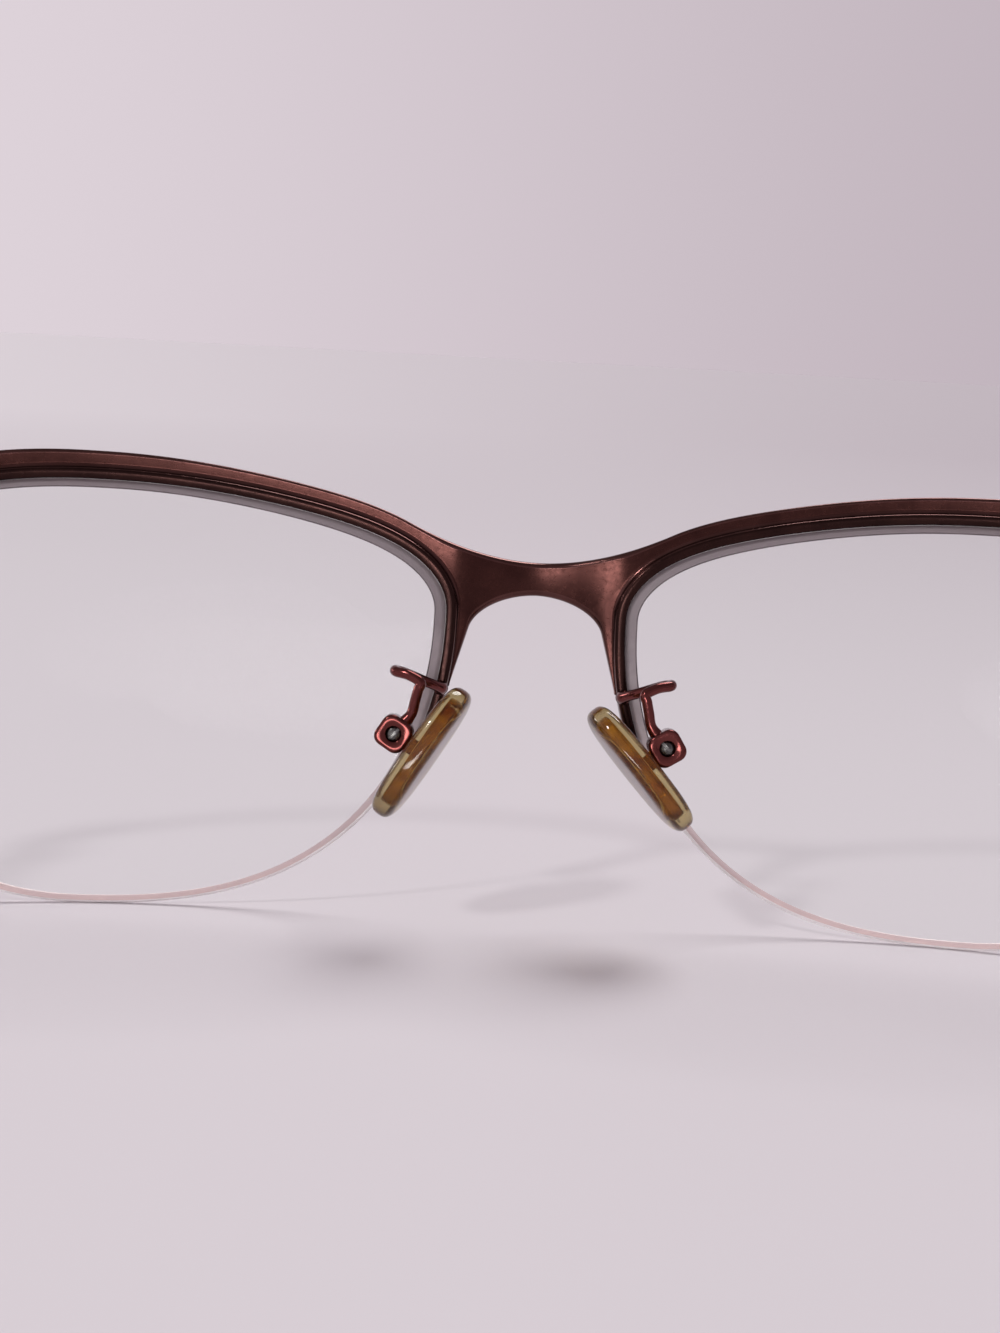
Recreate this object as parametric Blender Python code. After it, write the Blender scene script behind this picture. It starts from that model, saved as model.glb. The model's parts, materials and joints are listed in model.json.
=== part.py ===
"""Half-rim spectacles with a nylon cord under each lens, standing open on a table.

Run with blender --background --python part.py, or from Blender's text editor. Metres, +Z up.

The pieces are built in the frame in which the spectacles are worn: X to the wearer's right, Y the way
the wearer looks, Z up, with the origin midway between the two lenses. The last step tips the whole
assembly about X until the cords under the lenses and the ends of both temples touch the table, and puts
the middle of its footprint at the origin.
"""

import math

import bmesh
import bpy
import numpy as np
from mathutils import Matrix, Vector

# Lenses: the boxed size, and the four quarter ellipses that make the outline
LENS_WIDTH = 0.053
LENS_HEIGHT = 0.0372
BRIDGE_GAP = 0.016
TOP_OUTWARD = 0.0033
BOTTOM_OUTWARD = 0.0048
NASAL_RISE = 0.0086
TEMPORAL_RISE = 0.0045
POWER_TOP_NASAL = 2.07
POWER_BOTTOM_NASAL = 2.28
POWER_BOTTOM_TEMPORAL = 2.20
POWER_TOP_TEMPORAL = 2.45
NASAL_FULLNESS = 0.0004
LENS_EDGE = 0.0021
LENS_CENTRE = 0.0017
LENS_CHAMFER = 0.00045
GROOVE_WIDTH = 0.00062
GROOVE_DEPTH = 0.00036

# The front's bend round the face and its lean
BASE_RADIUS = 0.106
WRAP = math.radians(5.0)
LEAN = math.radians(8.0)
BRIDGE_FORWARD = 0.0012
BEND_BLEND = 0.002

# Eyewire: a channel that holds the lens from above, from the temple side to the nose side
RIM_DEPTH = 0.0022
RIM_HEIGHT = 0.00098
RIM_ROUND = 0.00022
RIM_TEMPLE_END = math.radians(-4.0)
RIM_NOSE_END = math.radians(200.0)
CHANNEL_DEPTH = 0.00048
CHANNEL_WIDTH = 0.0006
LENS_GAP = 0.00004
SOLDER_GAP = 0.00004

# Nylon: the liner in the upper channel and the cord under the lens
CORD_DIAMETER = 0.00054
CORD_OUTWARD = 0.00006
CORD_TUCK = math.radians(5.0)
LINER_WIDTH = 0.00046
LINER_INWARD = 0.00026
LINER_OUTWARD = 0.00040

# Brow and bridge: one pressed plate in front of the eyewires
PLATE_THICKNESS = 0.0012
BROW_HEIGHT = 0.00232
BROW_OUTER_HEIGHT = 0.00280
BROW_END_HEIGHT = 0.0017
BROW_WIDENS = math.radians(130.0)
BROW_WIDE = math.radians(45.0)
BROW_JOIN = math.radians(147.0)
BRIDGE_CORNER = math.radians(158.0)
BRIDGE_TOP = 0.0134
ARCH_TOP = 0.01046
ARCH_HALF_WIDTH = 0.0060
ARCH_SPRING = 0.0069
ARCH_POWER = 1.87
ARCH_START = math.radians(33.0)
LEG_END = math.radians(191.0)
LEG_TIP = 0.00005
FILLET_WIDTH = 0.00030
FILLET_RISE = 0.00042
PLATE_EDGE = 0.00016
CUT_PARTS = 2

# End pieces: from the brow's outer end, round the corner to the hinge
ENDPIECE_LOW = math.radians(7.0)
ENDPIECE_HIGH = math.radians(27.0)
ENDPIECE_THICKNESS = 0.0012
ENDPIECE_CORNER = 1.5
ENDPIECE_REACH = 0.0067

# Hinges: five knuckles on a screw
HINGE_BACK = 0.0138
HINGE_RISE = 0.0100
HINGE_HEIGHT = 0.0044
KNUCKLE_RADIUS = 0.00125
KNUCKLE_GAP = 0.00006
LEAF_THICKNESS = 0.00075
LEAF_LENGTH = 0.0044
LEAF_GAP = 0.00005
JOINT_GAP = 0.00014
HINGE_SCREW_DIAMETER = 0.0012
HINGE_SCREW_HEAD = 0.0021
HINGE_HEAD_HEIGHT = 0.00048
SCREW_CLEARANCE = 0.00006

# Temples and their tips
TEMPLE_LENGTH = 0.140
TEMPLE_HEIGHT = 0.0041
TEMPLE_NECK_HEIGHT = 0.0026
TEMPLE_THICKNESS = 0.0011
TIP_START = 0.070
TIP_HEIGHT_START = 0.0036
TIP_HEIGHT = 0.0058
TIP_THICKNESS = 0.0027
TIP_WALL_GAP = 0.00006
TIP_LIP = 0.0012
TIP_SHOULDER = 0.0002
CORE_HEIGHT = 0.0014
CORE_THICKNESS = 0.0008
CORE_SHORT = 0.020
EAR_BEND_START = 0.094
EAR_BEND_RADIUS = 0.022
EAR_BEND = math.radians(46.0)
TIP_INWARD = 0.0035
EDGE_ROUND = 0.00018

# Nose pads: gooseneck arm, box, screw, core and silicone pad
PIVOT_OUT = 0.01170
PIVOT_RISE = -0.00195
PIVOT_BACK = 0.0072
BOX_TILT = math.radians(32.0)
BOX_SIZE = 0.0029
BOX_ROUND = 0.0006
BOX_DEPTH = 0.0024
BOX_WALL = 0.00032
SLOT_GAP = 0.00008
TAB_THICKNESS = 0.0009
TAB_WIDTH = 0.0013
PAD_SCREW_DIAMETER = 0.0008
PAD_SCREW_HEAD = 0.0015
PAD_HEAD_HEIGHT = 0.00045
PAD_TILT = math.radians(36.6)
PAD_LEAN_REST = math.radians(4.9)
PAD_SPLAY = math.radians(7.0)
PAD_DISTANCE = 0.00290
PAD_LENGTH = 0.0130
PAD_WIDTH = 0.0074
PAD_THICKNESS = 0.0023
PAD_CORE_LENGTH = 0.0096
PAD_CORE_WIDTH = 0.0046
PAD_CORE_THICKNESS = 0.0006
PAD_CORE_GAP = 0.00005
ARM_DIAMETER = 0.00092
ARM_SEAT_GAP = 0.00012
ARM_LOOP_OUT = 0.0120
ARM_LOOP_RISE = 0.00338
ARM_LOOP_BACK = 0.0054
ARM_ELBOW_OUT = 0.0097
ARM_ELBOW_RISE = 0.0025
ARM_ELBOW_BACK = 0.0069
ARM_FOOT = math.radians(191.5)

STATIONS = 54
HALF_GAP = BRIDGE_GAP / 2
LENS_OUT = HALF_GAP + LENS_WIDTH / 2
FRONT_HALF_WIDTH = HALF_GAP + LENS_WIDTH + ENDPIECE_REACH
HINGE_OUT = FRONT_HALF_WIDTH - ENDPIECE_THICKNESS - LEAF_GAP - LEAF_THICKNESS - 0.9 * KNUCKLE_RADIUS
CORD_RADIUS = CORD_DIAMETER / 2


def smooth(x):
    """0 to 1 with level ends."""
    x = min(max(x, 0.0), 1.0)
    return x * x * (3 - 2 * x)


def mix(a, b, x):
    return a + (b - a) * x


def steps(a, b, count):
    return [mix(a, b, i / count) for i in range(count + 1)]


def shared_angles():
    """Stations round the lens, shared by every piece along its edge, so that facets lie side by side."""
    marks = (
        RIM_TEMPLE_END % math.tau,
        ENDPIECE_LOW,
        ENDPIECE_HIGH,
        BROW_JOIN,
        BRIDGE_CORNER,
        LEG_END,
        RIM_NOSE_END,
    )
    pitch = math.tau / STATIONS
    found = list(marks)
    for i in range(STATIONS):
        angle = i * pitch
        if all(abs(math.remainder(angle - mark, math.tau)) > pitch / 3 for mark in marks):
            found.append(angle)
    return sorted(found)


def around(a, b):
    """Angles from a to b round the lens, at the shared stations between them."""
    margin = math.tau / STATIONS / 5
    turns = (-math.tau, 0.0, math.tau)
    inside = [angle + turn for turn in turns for angle in shared_angles() if a < angle + turn - margin]
    return [a] + sorted(angle for angle in inside if angle < b - margin) + [b]


# Shape of the front, in its own plane: out from the middle, up, and back towards the wearer


def plain_edge(angle):
    """A point of the four quarter ellipses."""
    c, s = math.cos(angle), math.sin(angle)
    middle_out = TOP_OUTWARD if s >= 0 else BOTTOM_OUTWARD
    middle_up = TEMPORAL_RISE if c >= 0 else NASAL_RISE
    reach_out = LENS_WIDTH / 2 - math.copysign(middle_out, c)
    reach_up = LENS_HEIGHT / 2 - math.copysign(middle_up, s)
    if s >= 0:
        power = POWER_TOP_TEMPORAL if c >= 0 else POWER_TOP_NASAL
    else:
        power = POWER_BOTTOM_TEMPORAL if c >= 0 else POWER_BOTTOM_NASAL
    out = LENS_OUT + middle_out + math.copysign(reach_out * abs(c) ** (2 / power), c)
    up = middle_up + math.copysign(reach_up * abs(s) ** (2 / power), s)
    return Vector((out, up))


def lens_edge(angle):
    """A point of the lens outline: angle 0 at the temple side, a quarter turn at the top."""
    c, s = math.cos(angle), math.sin(angle)
    if c >= 0:
        return plain_edge(angle)
    along = plain_edge(angle + 0.01) - plain_edge(angle - 0.01)
    outwards = Vector((along.y, -along.x)).normalized()
    fuller = NASAL_FULLNESS * math.sin(2 * angle) ** 2 * math.cos(2 * angle) * math.copysign(1, s)
    return plain_edge(angle) + outwards * fuller


def edge_normal(angle):
    along = lens_edge(angle + 0.01) - lens_edge(angle - 0.01)
    return Vector((along.y, -along.x)).normalized()


def edge_offset(angle, distance):
    return lens_edge(angle) + edge_normal(angle) * distance


def depth(out, up):
    """How far the middle of the lens lies behind the front's own plane."""
    reach = out - HALF_GAP
    held = HALF_GAP + (reach + math.hypot(reach, BEND_BLEND)) / 2
    across = held - LENS_OUT
    bowl = BASE_RADIUS - math.sqrt(BASE_RADIUS**2 - across**2 - up**2)
    forward = BRIDGE_FORWARD * (1 - smooth(out / HALF_GAP))
    return bowl + math.tan(WRAP) * across - forward


def front_point(flat, back):
    """A point of the front as worn, back metres behind the lens's middle surface."""
    out, up = flat
    behind = depth(out, up) + back
    return leaned(out, up, behind)


def leaned(out, up, behind):
    c, s = math.cos(LEAN), math.sin(LEAN)
    return Vector((out, up * s - behind * c, up * c + behind * s))


# Scene helpers


def clear_scene():
    for old in list(bpy.data.objects):
        bpy.data.objects.remove(old, do_unlink=True)


def empty(name, parent=None, matrix=None):
    made = bpy.data.objects.new(name, None)
    made.empty_display_size = 0.005
    bpy.context.scene.collection.objects.link(made)
    made.parent = parent
    if matrix is not None:
        made.matrix_local = matrix
    return made


def material(name, colour, roughness, metallic=0.0, alpha=1.0):
    made = bpy.data.materials.new(name)
    made.use_nodes = True
    shader = made.node_tree.nodes["Principled BSDF"]
    shader.inputs["Base Color"].default_value = (*colour, 1.0)
    shader.inputs["Roughness"].default_value = roughness
    shader.inputs["Metallic"].default_value = metallic
    shader.inputs["Alpha"].default_value = alpha
    made.diffuse_color = (*colour, alpha)
    return made


def finish_mesh(shape, sharp=35.0):
    """Closes up the bmesh as a mesh that faces out and is smooth where it is round."""
    bmesh.ops.remove_doubles(shape, verts=shape.verts, dist=1e-8)
    bmesh.ops.recalc_face_normals(shape, faces=shape.faces)
    mesh = bpy.data.meshes.new("mesh")
    shape.to_mesh(mesh)
    shape.free()
    mesh.shade_smooth()
    mesh.set_sharp_from_angle(angle=math.radians(sharp))
    return mesh


def place(name, data, finish, parent):
    data.materials.clear()
    data.materials.append(finish)
    made = bpy.data.objects.new(name, data)
    bpy.context.scene.collection.objects.link(made)
    made.parent = parent
    return made


def bake(mesh, cutters=(), bevel=0.0, segments=1, angle=40.0, joined=()):
    """Applies unions, cuts and a bevel to a mesh, and returns the new mesh."""
    body = bpy.data.objects.new("blank", mesh)
    bpy.context.scene.collection.objects.link(body)
    helpers = []
    for operation, meshes in (("UNION", joined), ("DIFFERENCE", cutters)):
        for other in meshes:
            tool = bpy.data.objects.new("cutter", other)
            tool.hide_render = True
            tool.display_type = "WIRE"
            bpy.context.scene.collection.objects.link(tool)
            cut = body.modifiers.new("cut", "BOOLEAN")
            cut.operation = operation
            cut.object = tool
            helpers.append(tool)
    if bevel > 0:
        rounding = body.modifiers.new("rounding", "BEVEL")
        rounding.width = bevel
        rounding.segments = segments
        rounding.limit_method = "ANGLE"
        rounding.angle_limit = math.radians(angle)
        rounding.harden_normals = False
    graph = bpy.context.evaluated_depsgraph_get()
    graph.update()
    made = bpy.data.meshes.new_from_object(body.evaluated_get(graph))
    for spare in (body, *helpers):
        bpy.data.objects.remove(spare, do_unlink=True)
    made.shade_smooth()
    made.set_sharp_from_angle(angle=math.radians(35))
    return made


def loft(rings, closed=True, strips=False):
    """A bmesh that joins rings of equal count one after the other, with its two ends filled.

    With strips, an end is filled by quads between the ring's first half and its second half.
    """
    shape = bmesh.new()
    loops = [[shape.verts.new(p) for p in ring] for ring in rings]
    count = len(loops[0])
    for first, second in zip(loops, loops[1:]):
        for i in range(count):
            j = (i + 1) % count
            shape.faces.new((first[i], first[j], second[j], second[i]))
    if not closed:
        return shape
    for loop in (loops[0][::-1], loops[-1]):
        if not strips:
            shape.faces.new(loop)
            continue
        for i in range(count // 2 - 1):
            shape.faces.new((loop[i], loop[i + 1], loop[count - 2 - i], loop[count - 1 - i]))
    return shape


def extrusion(outline, low, high):
    """An outline in X and Y, extruded from low to high along Z."""
    return finish_mesh(loft([[Vector((x, y, z)) for x, y in outline] for z in (low, high)]))


def turned(profile, sides):
    """A solid of revolution about Z, from a profile that starts and ends on the axis."""
    shape = bmesh.new()
    verts = [shape.verts.new((radius, 0, height)) for radius, height in profile]
    edges = [shape.edges.new(pair) for pair in zip(verts, verts[1:])]
    bmesh.ops.spin(
        shape,
        geom=verts + edges,
        axis=(0, 0, 1),
        cent=(0, 0, 0),
        angle=math.tau,
        steps=sides,
        use_merge=True,
    )
    bmesh.ops.remove_doubles(shape, verts=shape.verts, dist=1e-7)
    bmesh.ops.dissolve_degenerate(shape, edges=shape.edges, dist=1e-8)
    return finish_mesh(shape)


def block(size, centre):
    shape = bmesh.new()
    bmesh.ops.create_cube(shape, size=1.0)
    bmesh.ops.scale(shape, vec=size, verts=shape.verts)
    bmesh.ops.translate(shape, vec=centre, verts=shape.verts)
    return finish_mesh(shape)


def moved(mesh, matrix):
    mesh.transform(matrix)
    return mesh


def wire(points, radius, sides):
    """A round wire through the points, as a curve with a bevel and filled ends."""
    curve = bpy.data.curves.new("wire", "CURVE")
    curve.dimensions = "3D"
    curve.bevel_depth = radius
    curve.bevel_resolution = sides // 2 - 2
    curve.use_fill_caps = True
    spline = curve.splines.new("POLY")
    spline.points.add(len(points) - 1)
    for point, place_at in zip(spline.points, points):
        point.co = (*place_at, 1.0)
    spline.use_smooth = True
    return curve


def through(points, per_span):
    """A smooth Catmull-Rom curve through the points."""
    ends = [2 * points[0] - points[1], *points, 2 * points[-1] - points[-2]]
    found = []
    for a, b, c, d in zip(ends, ends[1:], ends[2:], ends[3:]):
        for i in range(per_span):
            x = i / per_span
            found.append(
                0.5 * (2 * b + (c - a) * x + (2 * a - 5 * b + 4 * c - d) * x * x
                       + (3 * b - 3 * c + d - a) * x**3)
            )
    found.append(points[-1].copy())
    return found


def screw_with_slot(shank, length, head, head_height, slot_width, slot_depth, sides):
    """A slotted screw along Z: the top of its head at 0, the shank below it, with a chamfered tip."""
    tip = shank * 0.12
    profile = [
        (0.0, 0.0),
        (head / 2 - head_height * 0.2, 0.0),
        (head / 2, -head_height * 0.2),
        (head / 2, -head_height * 0.55),
        (shank / 2, -head_height),
        (shank / 2, -length + tip),
        (shank / 2 - tip, -length),
        (0.0, -length),
    ]
    slot = block((head * 1.3, slot_width, slot_depth * 2), (0, 0, 0))
    return bake(turned(profile, sides), cutters=[slot])


# Lens, eyewire, liner and cord


def lens_mesh():
    edge = shared_angles()
    count = len(edge)
    middle = Vector((LENS_OUT, 0.0))

    def ring(share, inset, side):
        """side -1 is the front surface and +1 the back; a value between sits on the edge wall."""
        points = []
        for angle in edge:
            flat = middle + (edge_offset(angle, -inset) - middle) * share
            thick = mix(LENS_CENTRE, LENS_EDGE, share**2)
            points.append(front_point(flat, side * thick / 2))
        return points

    lip = GROOVE_WIDTH / LENS_EDGE
    rings = [
        ring(0.30, 0, -1),
        ring(0.66, 0, -1),
        ring(1.0, 0, -1),
        ring(1.0, 0, -lip),
        ring(1.0, GROOVE_DEPTH, -lip * 0.7),
        ring(1.0, GROOVE_DEPTH, lip * 0.7),
        ring(1.0, 0, lip),
        ring(1.0, 0, 1 - 2 * LENS_CHAMFER * 0.7 / LENS_EDGE),
        ring(1.0, LENS_CHAMFER, 1),
        ring(0.66, 0, 1),
        ring(0.30, 0, 1),
    ]
    shape = loft(rings, closed=False)
    first, last = list(shape.verts)[:count], list(shape.verts)[-count:]
    for loop, side in ((first, -1), (last, 1)):
        hub = shape.verts.new(front_point(middle, side * LENS_CENTRE / 2))
        for a, b in zip(loop, loop[1:] + loop[:1]):
            shape.faces.new((a, b, hub) if side > 0 else (b, a, hub))
    return finish_mesh(shape, 24)


def eyewire_mesh():
    """A U section swept round the upper lens edge, its open side towards the lens."""
    half = RIM_DEPTH / 2
    slot = CHANNEL_WIDTH / 2
    section = [
        (0.0, -half),
        (0.0, -slot),
        (CHANNEL_DEPTH, -slot),
        (CHANNEL_DEPTH, slot),
        (0.0, slot),
        (0.0, half),
        (RIM_HEIGHT - RIM_ROUND, half),
        (RIM_HEIGHT, half - RIM_ROUND),
        (RIM_HEIGHT, -half),
    ]
    rings = []
    for angle in around(RIM_TEMPLE_END, RIM_NOSE_END):
        rings.append([front_point(edge_offset(angle, LENS_GAP + n), w) for n, w in section])
    return finish_mesh(loft(rings))


def liner_mesh():
    """The strip in the channel that the lens's groove sits on."""
    half = LINER_WIDTH / 2
    section = [
        (-LINER_INWARD, -half),
        (LINER_OUTWARD, -half),
        (LINER_OUTWARD, half),
        (-LINER_INWARD, half),
    ]
    rings = []
    for angle in around(RIM_TEMPLE_END + CORD_TUCK, RIM_NOSE_END - CORD_TUCK):
        rings.append([front_point(edge_offset(angle, n), w) for n, w in section])
    return finish_mesh(loft(rings))


def cord_curve():
    """The nylon cord under the lens. Its ends run up into the eyewire's channel."""
    tuck = CORD_TUCK * 0.8
    low = RIM_NOSE_END - tuck
    high = RIM_TEMPLE_END + math.tau + tuck
    points = [front_point(edge_offset(angle, CORD_OUTWARD), 0.0) for angle in around(low, high)]
    return wire(points, CORD_RADIUS, 6)


# Brow and bridge


def brow_height(angle):
    """Height of the brow above the lens edge: it grows from the bridge outwards and runs out at its end."""
    outwards = smooth((BROW_WIDENS - angle) / (BROW_WIDENS - BROW_WIDE))
    rise = smooth((angle - RIM_TEMPLE_END) / (ENDPIECE_LOW - RIM_TEMPLE_END))
    return mix(BROW_END_HEIGHT, mix(BROW_HEIGHT, BROW_OUTER_HEIGHT, outwards), rise)


def plate_inner():
    return LENS_GAP + RIM_HEIGHT + SOLDER_GAP


def fillet_edge(angle):
    """Where the fillet against the eyewire ends; it runs out towards the leg's tip."""
    left = smooth((LEG_END - angle) / (LEG_END - BRIDGE_CORNER))
    return plate_inner() + FILLET_WIDTH * mix(0.35, 1.0, left)


def arch_point(angle):
    """The arch over the nose: angle 0 at its spring, a quarter turn at its top."""
    c, s = math.cos(angle), math.sin(angle)
    rise = ARCH_TOP - ARCH_SPRING
    return Vector(
        (ARCH_HALF_WIDTH * abs(c) ** (2 / ARCH_POWER), ARCH_SPRING + rise * abs(s) ** (2 / ARCH_POWER))
    )


def bridge_top_point(x):
    """The bridge's top edge, x from 0 where it leaves the brow to 1 in the middle."""
    start = edge_offset(BROW_JOIN, BROW_HEIGHT)
    before = edge_offset(BROW_JOIN - 0.02, BROW_HEIGHT)
    slope = (start.y - before.y) / (start.x - before.x)
    out = start.x * (1 - x)
    share = out / start.x
    rise = start.y - BRIDGE_TOP
    run = slope * start.x
    return Vector((out, BRIDGE_TOP + (3 * rise - run) * share**2 + (run - 2 * rise) * share**3))


def leg_tip():
    return edge_offset(LEG_END, fillet_edge(LEG_END) + LEG_TIP)


def leg_start():
    """The angle of the arch at which the leg's straight edge leaves it without a corner."""
    low, high = 0.0, ARCH_START
    for _ in range(30):
        angle = (low + high) / 2
        along = arch_point(angle) - arch_point(angle + 0.001)
        if along.cross(leg_tip() - arch_point(angle)) > 0:
            low = angle
        else:
            high = angle
    return low


def leg_edge(x):
    """The nose side of the bridge's leg, x from 0 at the arch to 1 at its tip."""
    turn = 0.35
    leaving = leg_start()
    if x < turn:
        return arch_point(mix(ARCH_START, leaving, x / turn))
    return arch_point(leaving).lerp(leg_tip(), (x - turn) / (1 - turn))


def pull(edge_point, partner):
    """How far and which way the face's border is set in from its free edge, for a chamfer."""
    across = partner - edge_point
    return across.normalized() * min(PLATE_EDGE, across.length / 3)


def front_layout():
    """The right half of the plate, laid flat: places, quads, chamfers, and how far the back is raised."""
    marks = (RIM_TEMPLE_END, ENDPIECE_LOW, ENDPIECE_HIGH, BROW_JOIN, BRIDGE_CORNER)
    brow = [angle for a, b in zip(marks, marks[1:]) for angle in around(a, b)[:-1]] + [BRIDGE_CORNER]
    corner = edge_offset(BRIDGE_CORNER, fillet_edge(BRIDGE_CORNER))
    arch_start = arch_point(ARCH_START)
    lower = [edge_offset(angle, fillet_edge(angle)) for angle in brow]
    lower += [corner.lerp(arch_start, i / CUT_PARTS) for i in range(1, CUT_PARTS + 1)]
    at_arch = len(lower) - 1
    lower += [arch_point(angle) for angle in steps(ARCH_START, math.pi / 2, 7)[1:]]
    lower[-1].x = 0.0
    joined = len([angle for angle in brow if angle <= BROW_JOIN + 1e-6])
    upper = [edge_offset(angle, brow_height(angle)) for angle in brow[:joined]]
    rest = len(lower) - joined
    upper += [bridge_top_point((i + 1) / rest) for i in range(rest)]

    places, quads, chamfers, lifts = {}, [], {}, {}
    for i, (low, high) in enumerate(zip(lower, upper)):
        places["low", i], places["high", i] = low, high
        chamfers["high", i] = pull(high, low)
        if i > at_arch:
            chamfers["low", i] = pull(low, high)
    chamfers["low", at_arch] = pull(arch_start, corner)
    for i in range(len(lower) - 1):
        quads.append([("low", i), ("low", i + 1), ("high", i + 1), ("high", i)])

    leg = around(BRIDGE_CORNER, LEG_END)
    for k, angle in enumerate(leg[1:], 1):
        inner = edge_offset(angle, fillet_edge(angle))
        outer = leg_edge(k / (len(leg) - 1))
        for j in range(CUT_PARTS + 1):
            places["leg", k, j] = inner.lerp(outer, j / CUT_PARTS)
        chamfers["leg", k, CUT_PARTS] = pull(outer, inner)

    def leg_key(k, j):
        return ("leg", k, j) if k else ("low", len(brow) - 1 + j)

    for k in range(len(leg) - 1):
        for j in range(CUT_PARTS):
            quads.append([leg_key(k + 1, j), leg_key(k + 1, j + 1), leg_key(k, j + 1), leg_key(k, j)])

    beside = [("low", i) for i in range(len(brow))] + [("leg", k, 0) for k in range(1, len(leg))]
    for i, angle in enumerate(brow + leg[1:]):
        places["rim", i] = edge_offset(angle, plate_inner())
        lifts["rim", i] = FILLET_RISE * mix(0.3, 1.0, smooth((LEG_END - angle) / 0.3))
    for i in range(len(beside) - 1):
        quads.append([("rim", i), ("rim", i + 1), beside[i + 1], beside[i]])
    middle = {("low", len(lower) - 1), ("high", len(lower) - 1)}
    return places, quads, chamfers, lifts, middle


def front_half():
    """The right half of the brow and bridge plate, as a bmesh open at the middle."""
    places, quads, chamfers, lifts, middle = front_layout()
    shape = bmesh.new()
    made = {}

    def level(key, at):
        """at 0 and 3 are the front and back faces, 1 and 2 the ends of the free edge between them."""
        if (key, at) not in made:
            chamfer = chamfers.get(key, Vector((0, 0)))
            thick = PLATE_THICKNESS + lifts.get(key, 0.0)
            back = (0.0, chamfer.length, thick - chamfer.length, thick)[at]
            flat = places[key] + (chamfer if at in (0, 3) else Vector((0, 0)))
            made[key, at] = shape.verts.new(front_point(flat, back - RIM_DEPTH / 2))
        return made[key, at]

    uses = {}
    for quad in quads:
        shape.faces.new([level(key, 0) for key in reversed(quad)])
        shape.faces.new([level(key, 3) for key in quad])
        for pair in zip(quad, quad[1:] + quad[:1]):
            uses[frozenset(pair)] = uses.get(frozenset(pair), 0) + 1
    for pair, count in uses.items():
        if count > 1 or pair == middle:
            continue
        a, b = ([level(key, at) for at in ((0, 1, 2, 3) if key in chamfers else (0, 3))] for key in pair)
        if len(a) == len(b):
            for i in range(len(a) - 1):
                shape.faces.new((a[i], b[i], b[i + 1], a[i + 1]))
        else:
            shape.faces.new(a + b[::-1])
    return shape


def front_mesh():
    mesh = finish_mesh(front_half())
    blank = bpy.data.objects.new("blank", mesh)
    bpy.context.scene.collection.objects.link(blank)
    mirror = blank.modifiers.new("mirror", "MIRROR")
    mirror.merge_threshold = 1e-6
    graph = bpy.context.evaluated_depsgraph_get()
    graph.update()
    whole = bpy.data.meshes.new_from_object(blank.evaluated_get(graph))
    bpy.data.objects.remove(blank, do_unlink=True)
    shape = bmesh.new()
    shape.from_mesh(whole)
    return finish_mesh(shape)


# End piece and hinge


def hinge_place():
    """The hinge axis's place as worn: upright, inside the end piece."""
    return Vector((HINGE_OUT, -HINGE_BACK, HINGE_RISE))


def conic(a, b, c, weight, x):
    """A conic arc from a to c, pulled towards b by its weight."""
    p, q, r = (1 - x) ** 2, 2 * x * (1 - x) * weight, x * x
    return (a * p + b * q + c * r) / (p + q + r)


def endpiece_mesh():
    """From the brow's end outwards and round to the hinge, where its height is the temple's."""
    spans = 8
    roots = around(ENDPIECE_LOW, ENDPIECE_HIGH)
    joint = -HINGE_BACK + JOINT_GAP
    flat_from = -HINGE_BACK + LEAF_LENGTH
    half = TEMPLE_HEIGHT / 2
    faces = {}
    front_side = (0, -RIM_DEPTH / 2, 0.0)
    back_side = (1, PLATE_THICKNESS - RIM_DEPTH / 2, ENDPIECE_THICKNESS)
    for side, back, wall in (front_side, back_side):
        grid = []
        for angle in roots:
            share = (angle - ENDPIECE_LOW) / (ENDPIECE_HIGH - ENDPIECE_LOW)
            root = front_point(edge_offset(angle, brow_height(angle) + SOLDER_GAP), back)
            beyond = front_point(edge_offset(angle, brow_height(angle) + ENDPIECE_THICKNESS), back)
            direction = (beyond - root).normalized()
            reach = FRONT_HALF_WIDTH - wall - root.x
            corner = root + direction * (reach / direction.x)
            end = Vector((FRONT_HALF_WIDTH - wall, flat_from, HINGE_RISE - half + TEMPLE_HEIGHT * share))
            corner.z = mix(corner.z, end.z, 0.6)
            bend = [conic(root, corner, end, ENDPIECE_CORNER, i / spans) for i in range(spans + 1)]
            grid.append(bend + [Vector((end.x, joint, end.z))])
        faces[side] = grid
    rings = []
    for i in range(spans + 2):
        ring = [row[i] for row in faces[0]] + [row[i] for row in reversed(faces[1])]
        rings.append(ring)
    return bake(finish_mesh(loft(rings, strips=True)), bevel=PLATE_EDGE, angle=50)


def hinge_outline(way):
    """A knuckle with its leaf, in plan about the hinge axis: way +1 is the front's, -1 the temple's."""
    outer = leaf_outer()
    inner = outer - LEAF_THICKNESS
    start = math.asin(JOINT_GAP / KNUCKLE_RADIUS)
    meet = math.acos(inner / KNUCKLE_RADIUS)
    arc = steps(start, meet - math.tau, 12)
    outline = [(outer, LEAF_LENGTH), (outer, JOINT_GAP)]
    outline += [(KNUCKLE_RADIUS * math.cos(a), KNUCKLE_RADIUS * math.sin(a)) for a in arc]
    outline += [(inner, LEAF_LENGTH)]
    outline = [(x, y * way) for x, y in outline]
    return outline[::-1] if way > 0 else outline


def leaf_outer():
    return FRONT_HALF_WIDTH - ENDPIECE_THICKNESS - LEAF_GAP - HINGE_OUT


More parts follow.
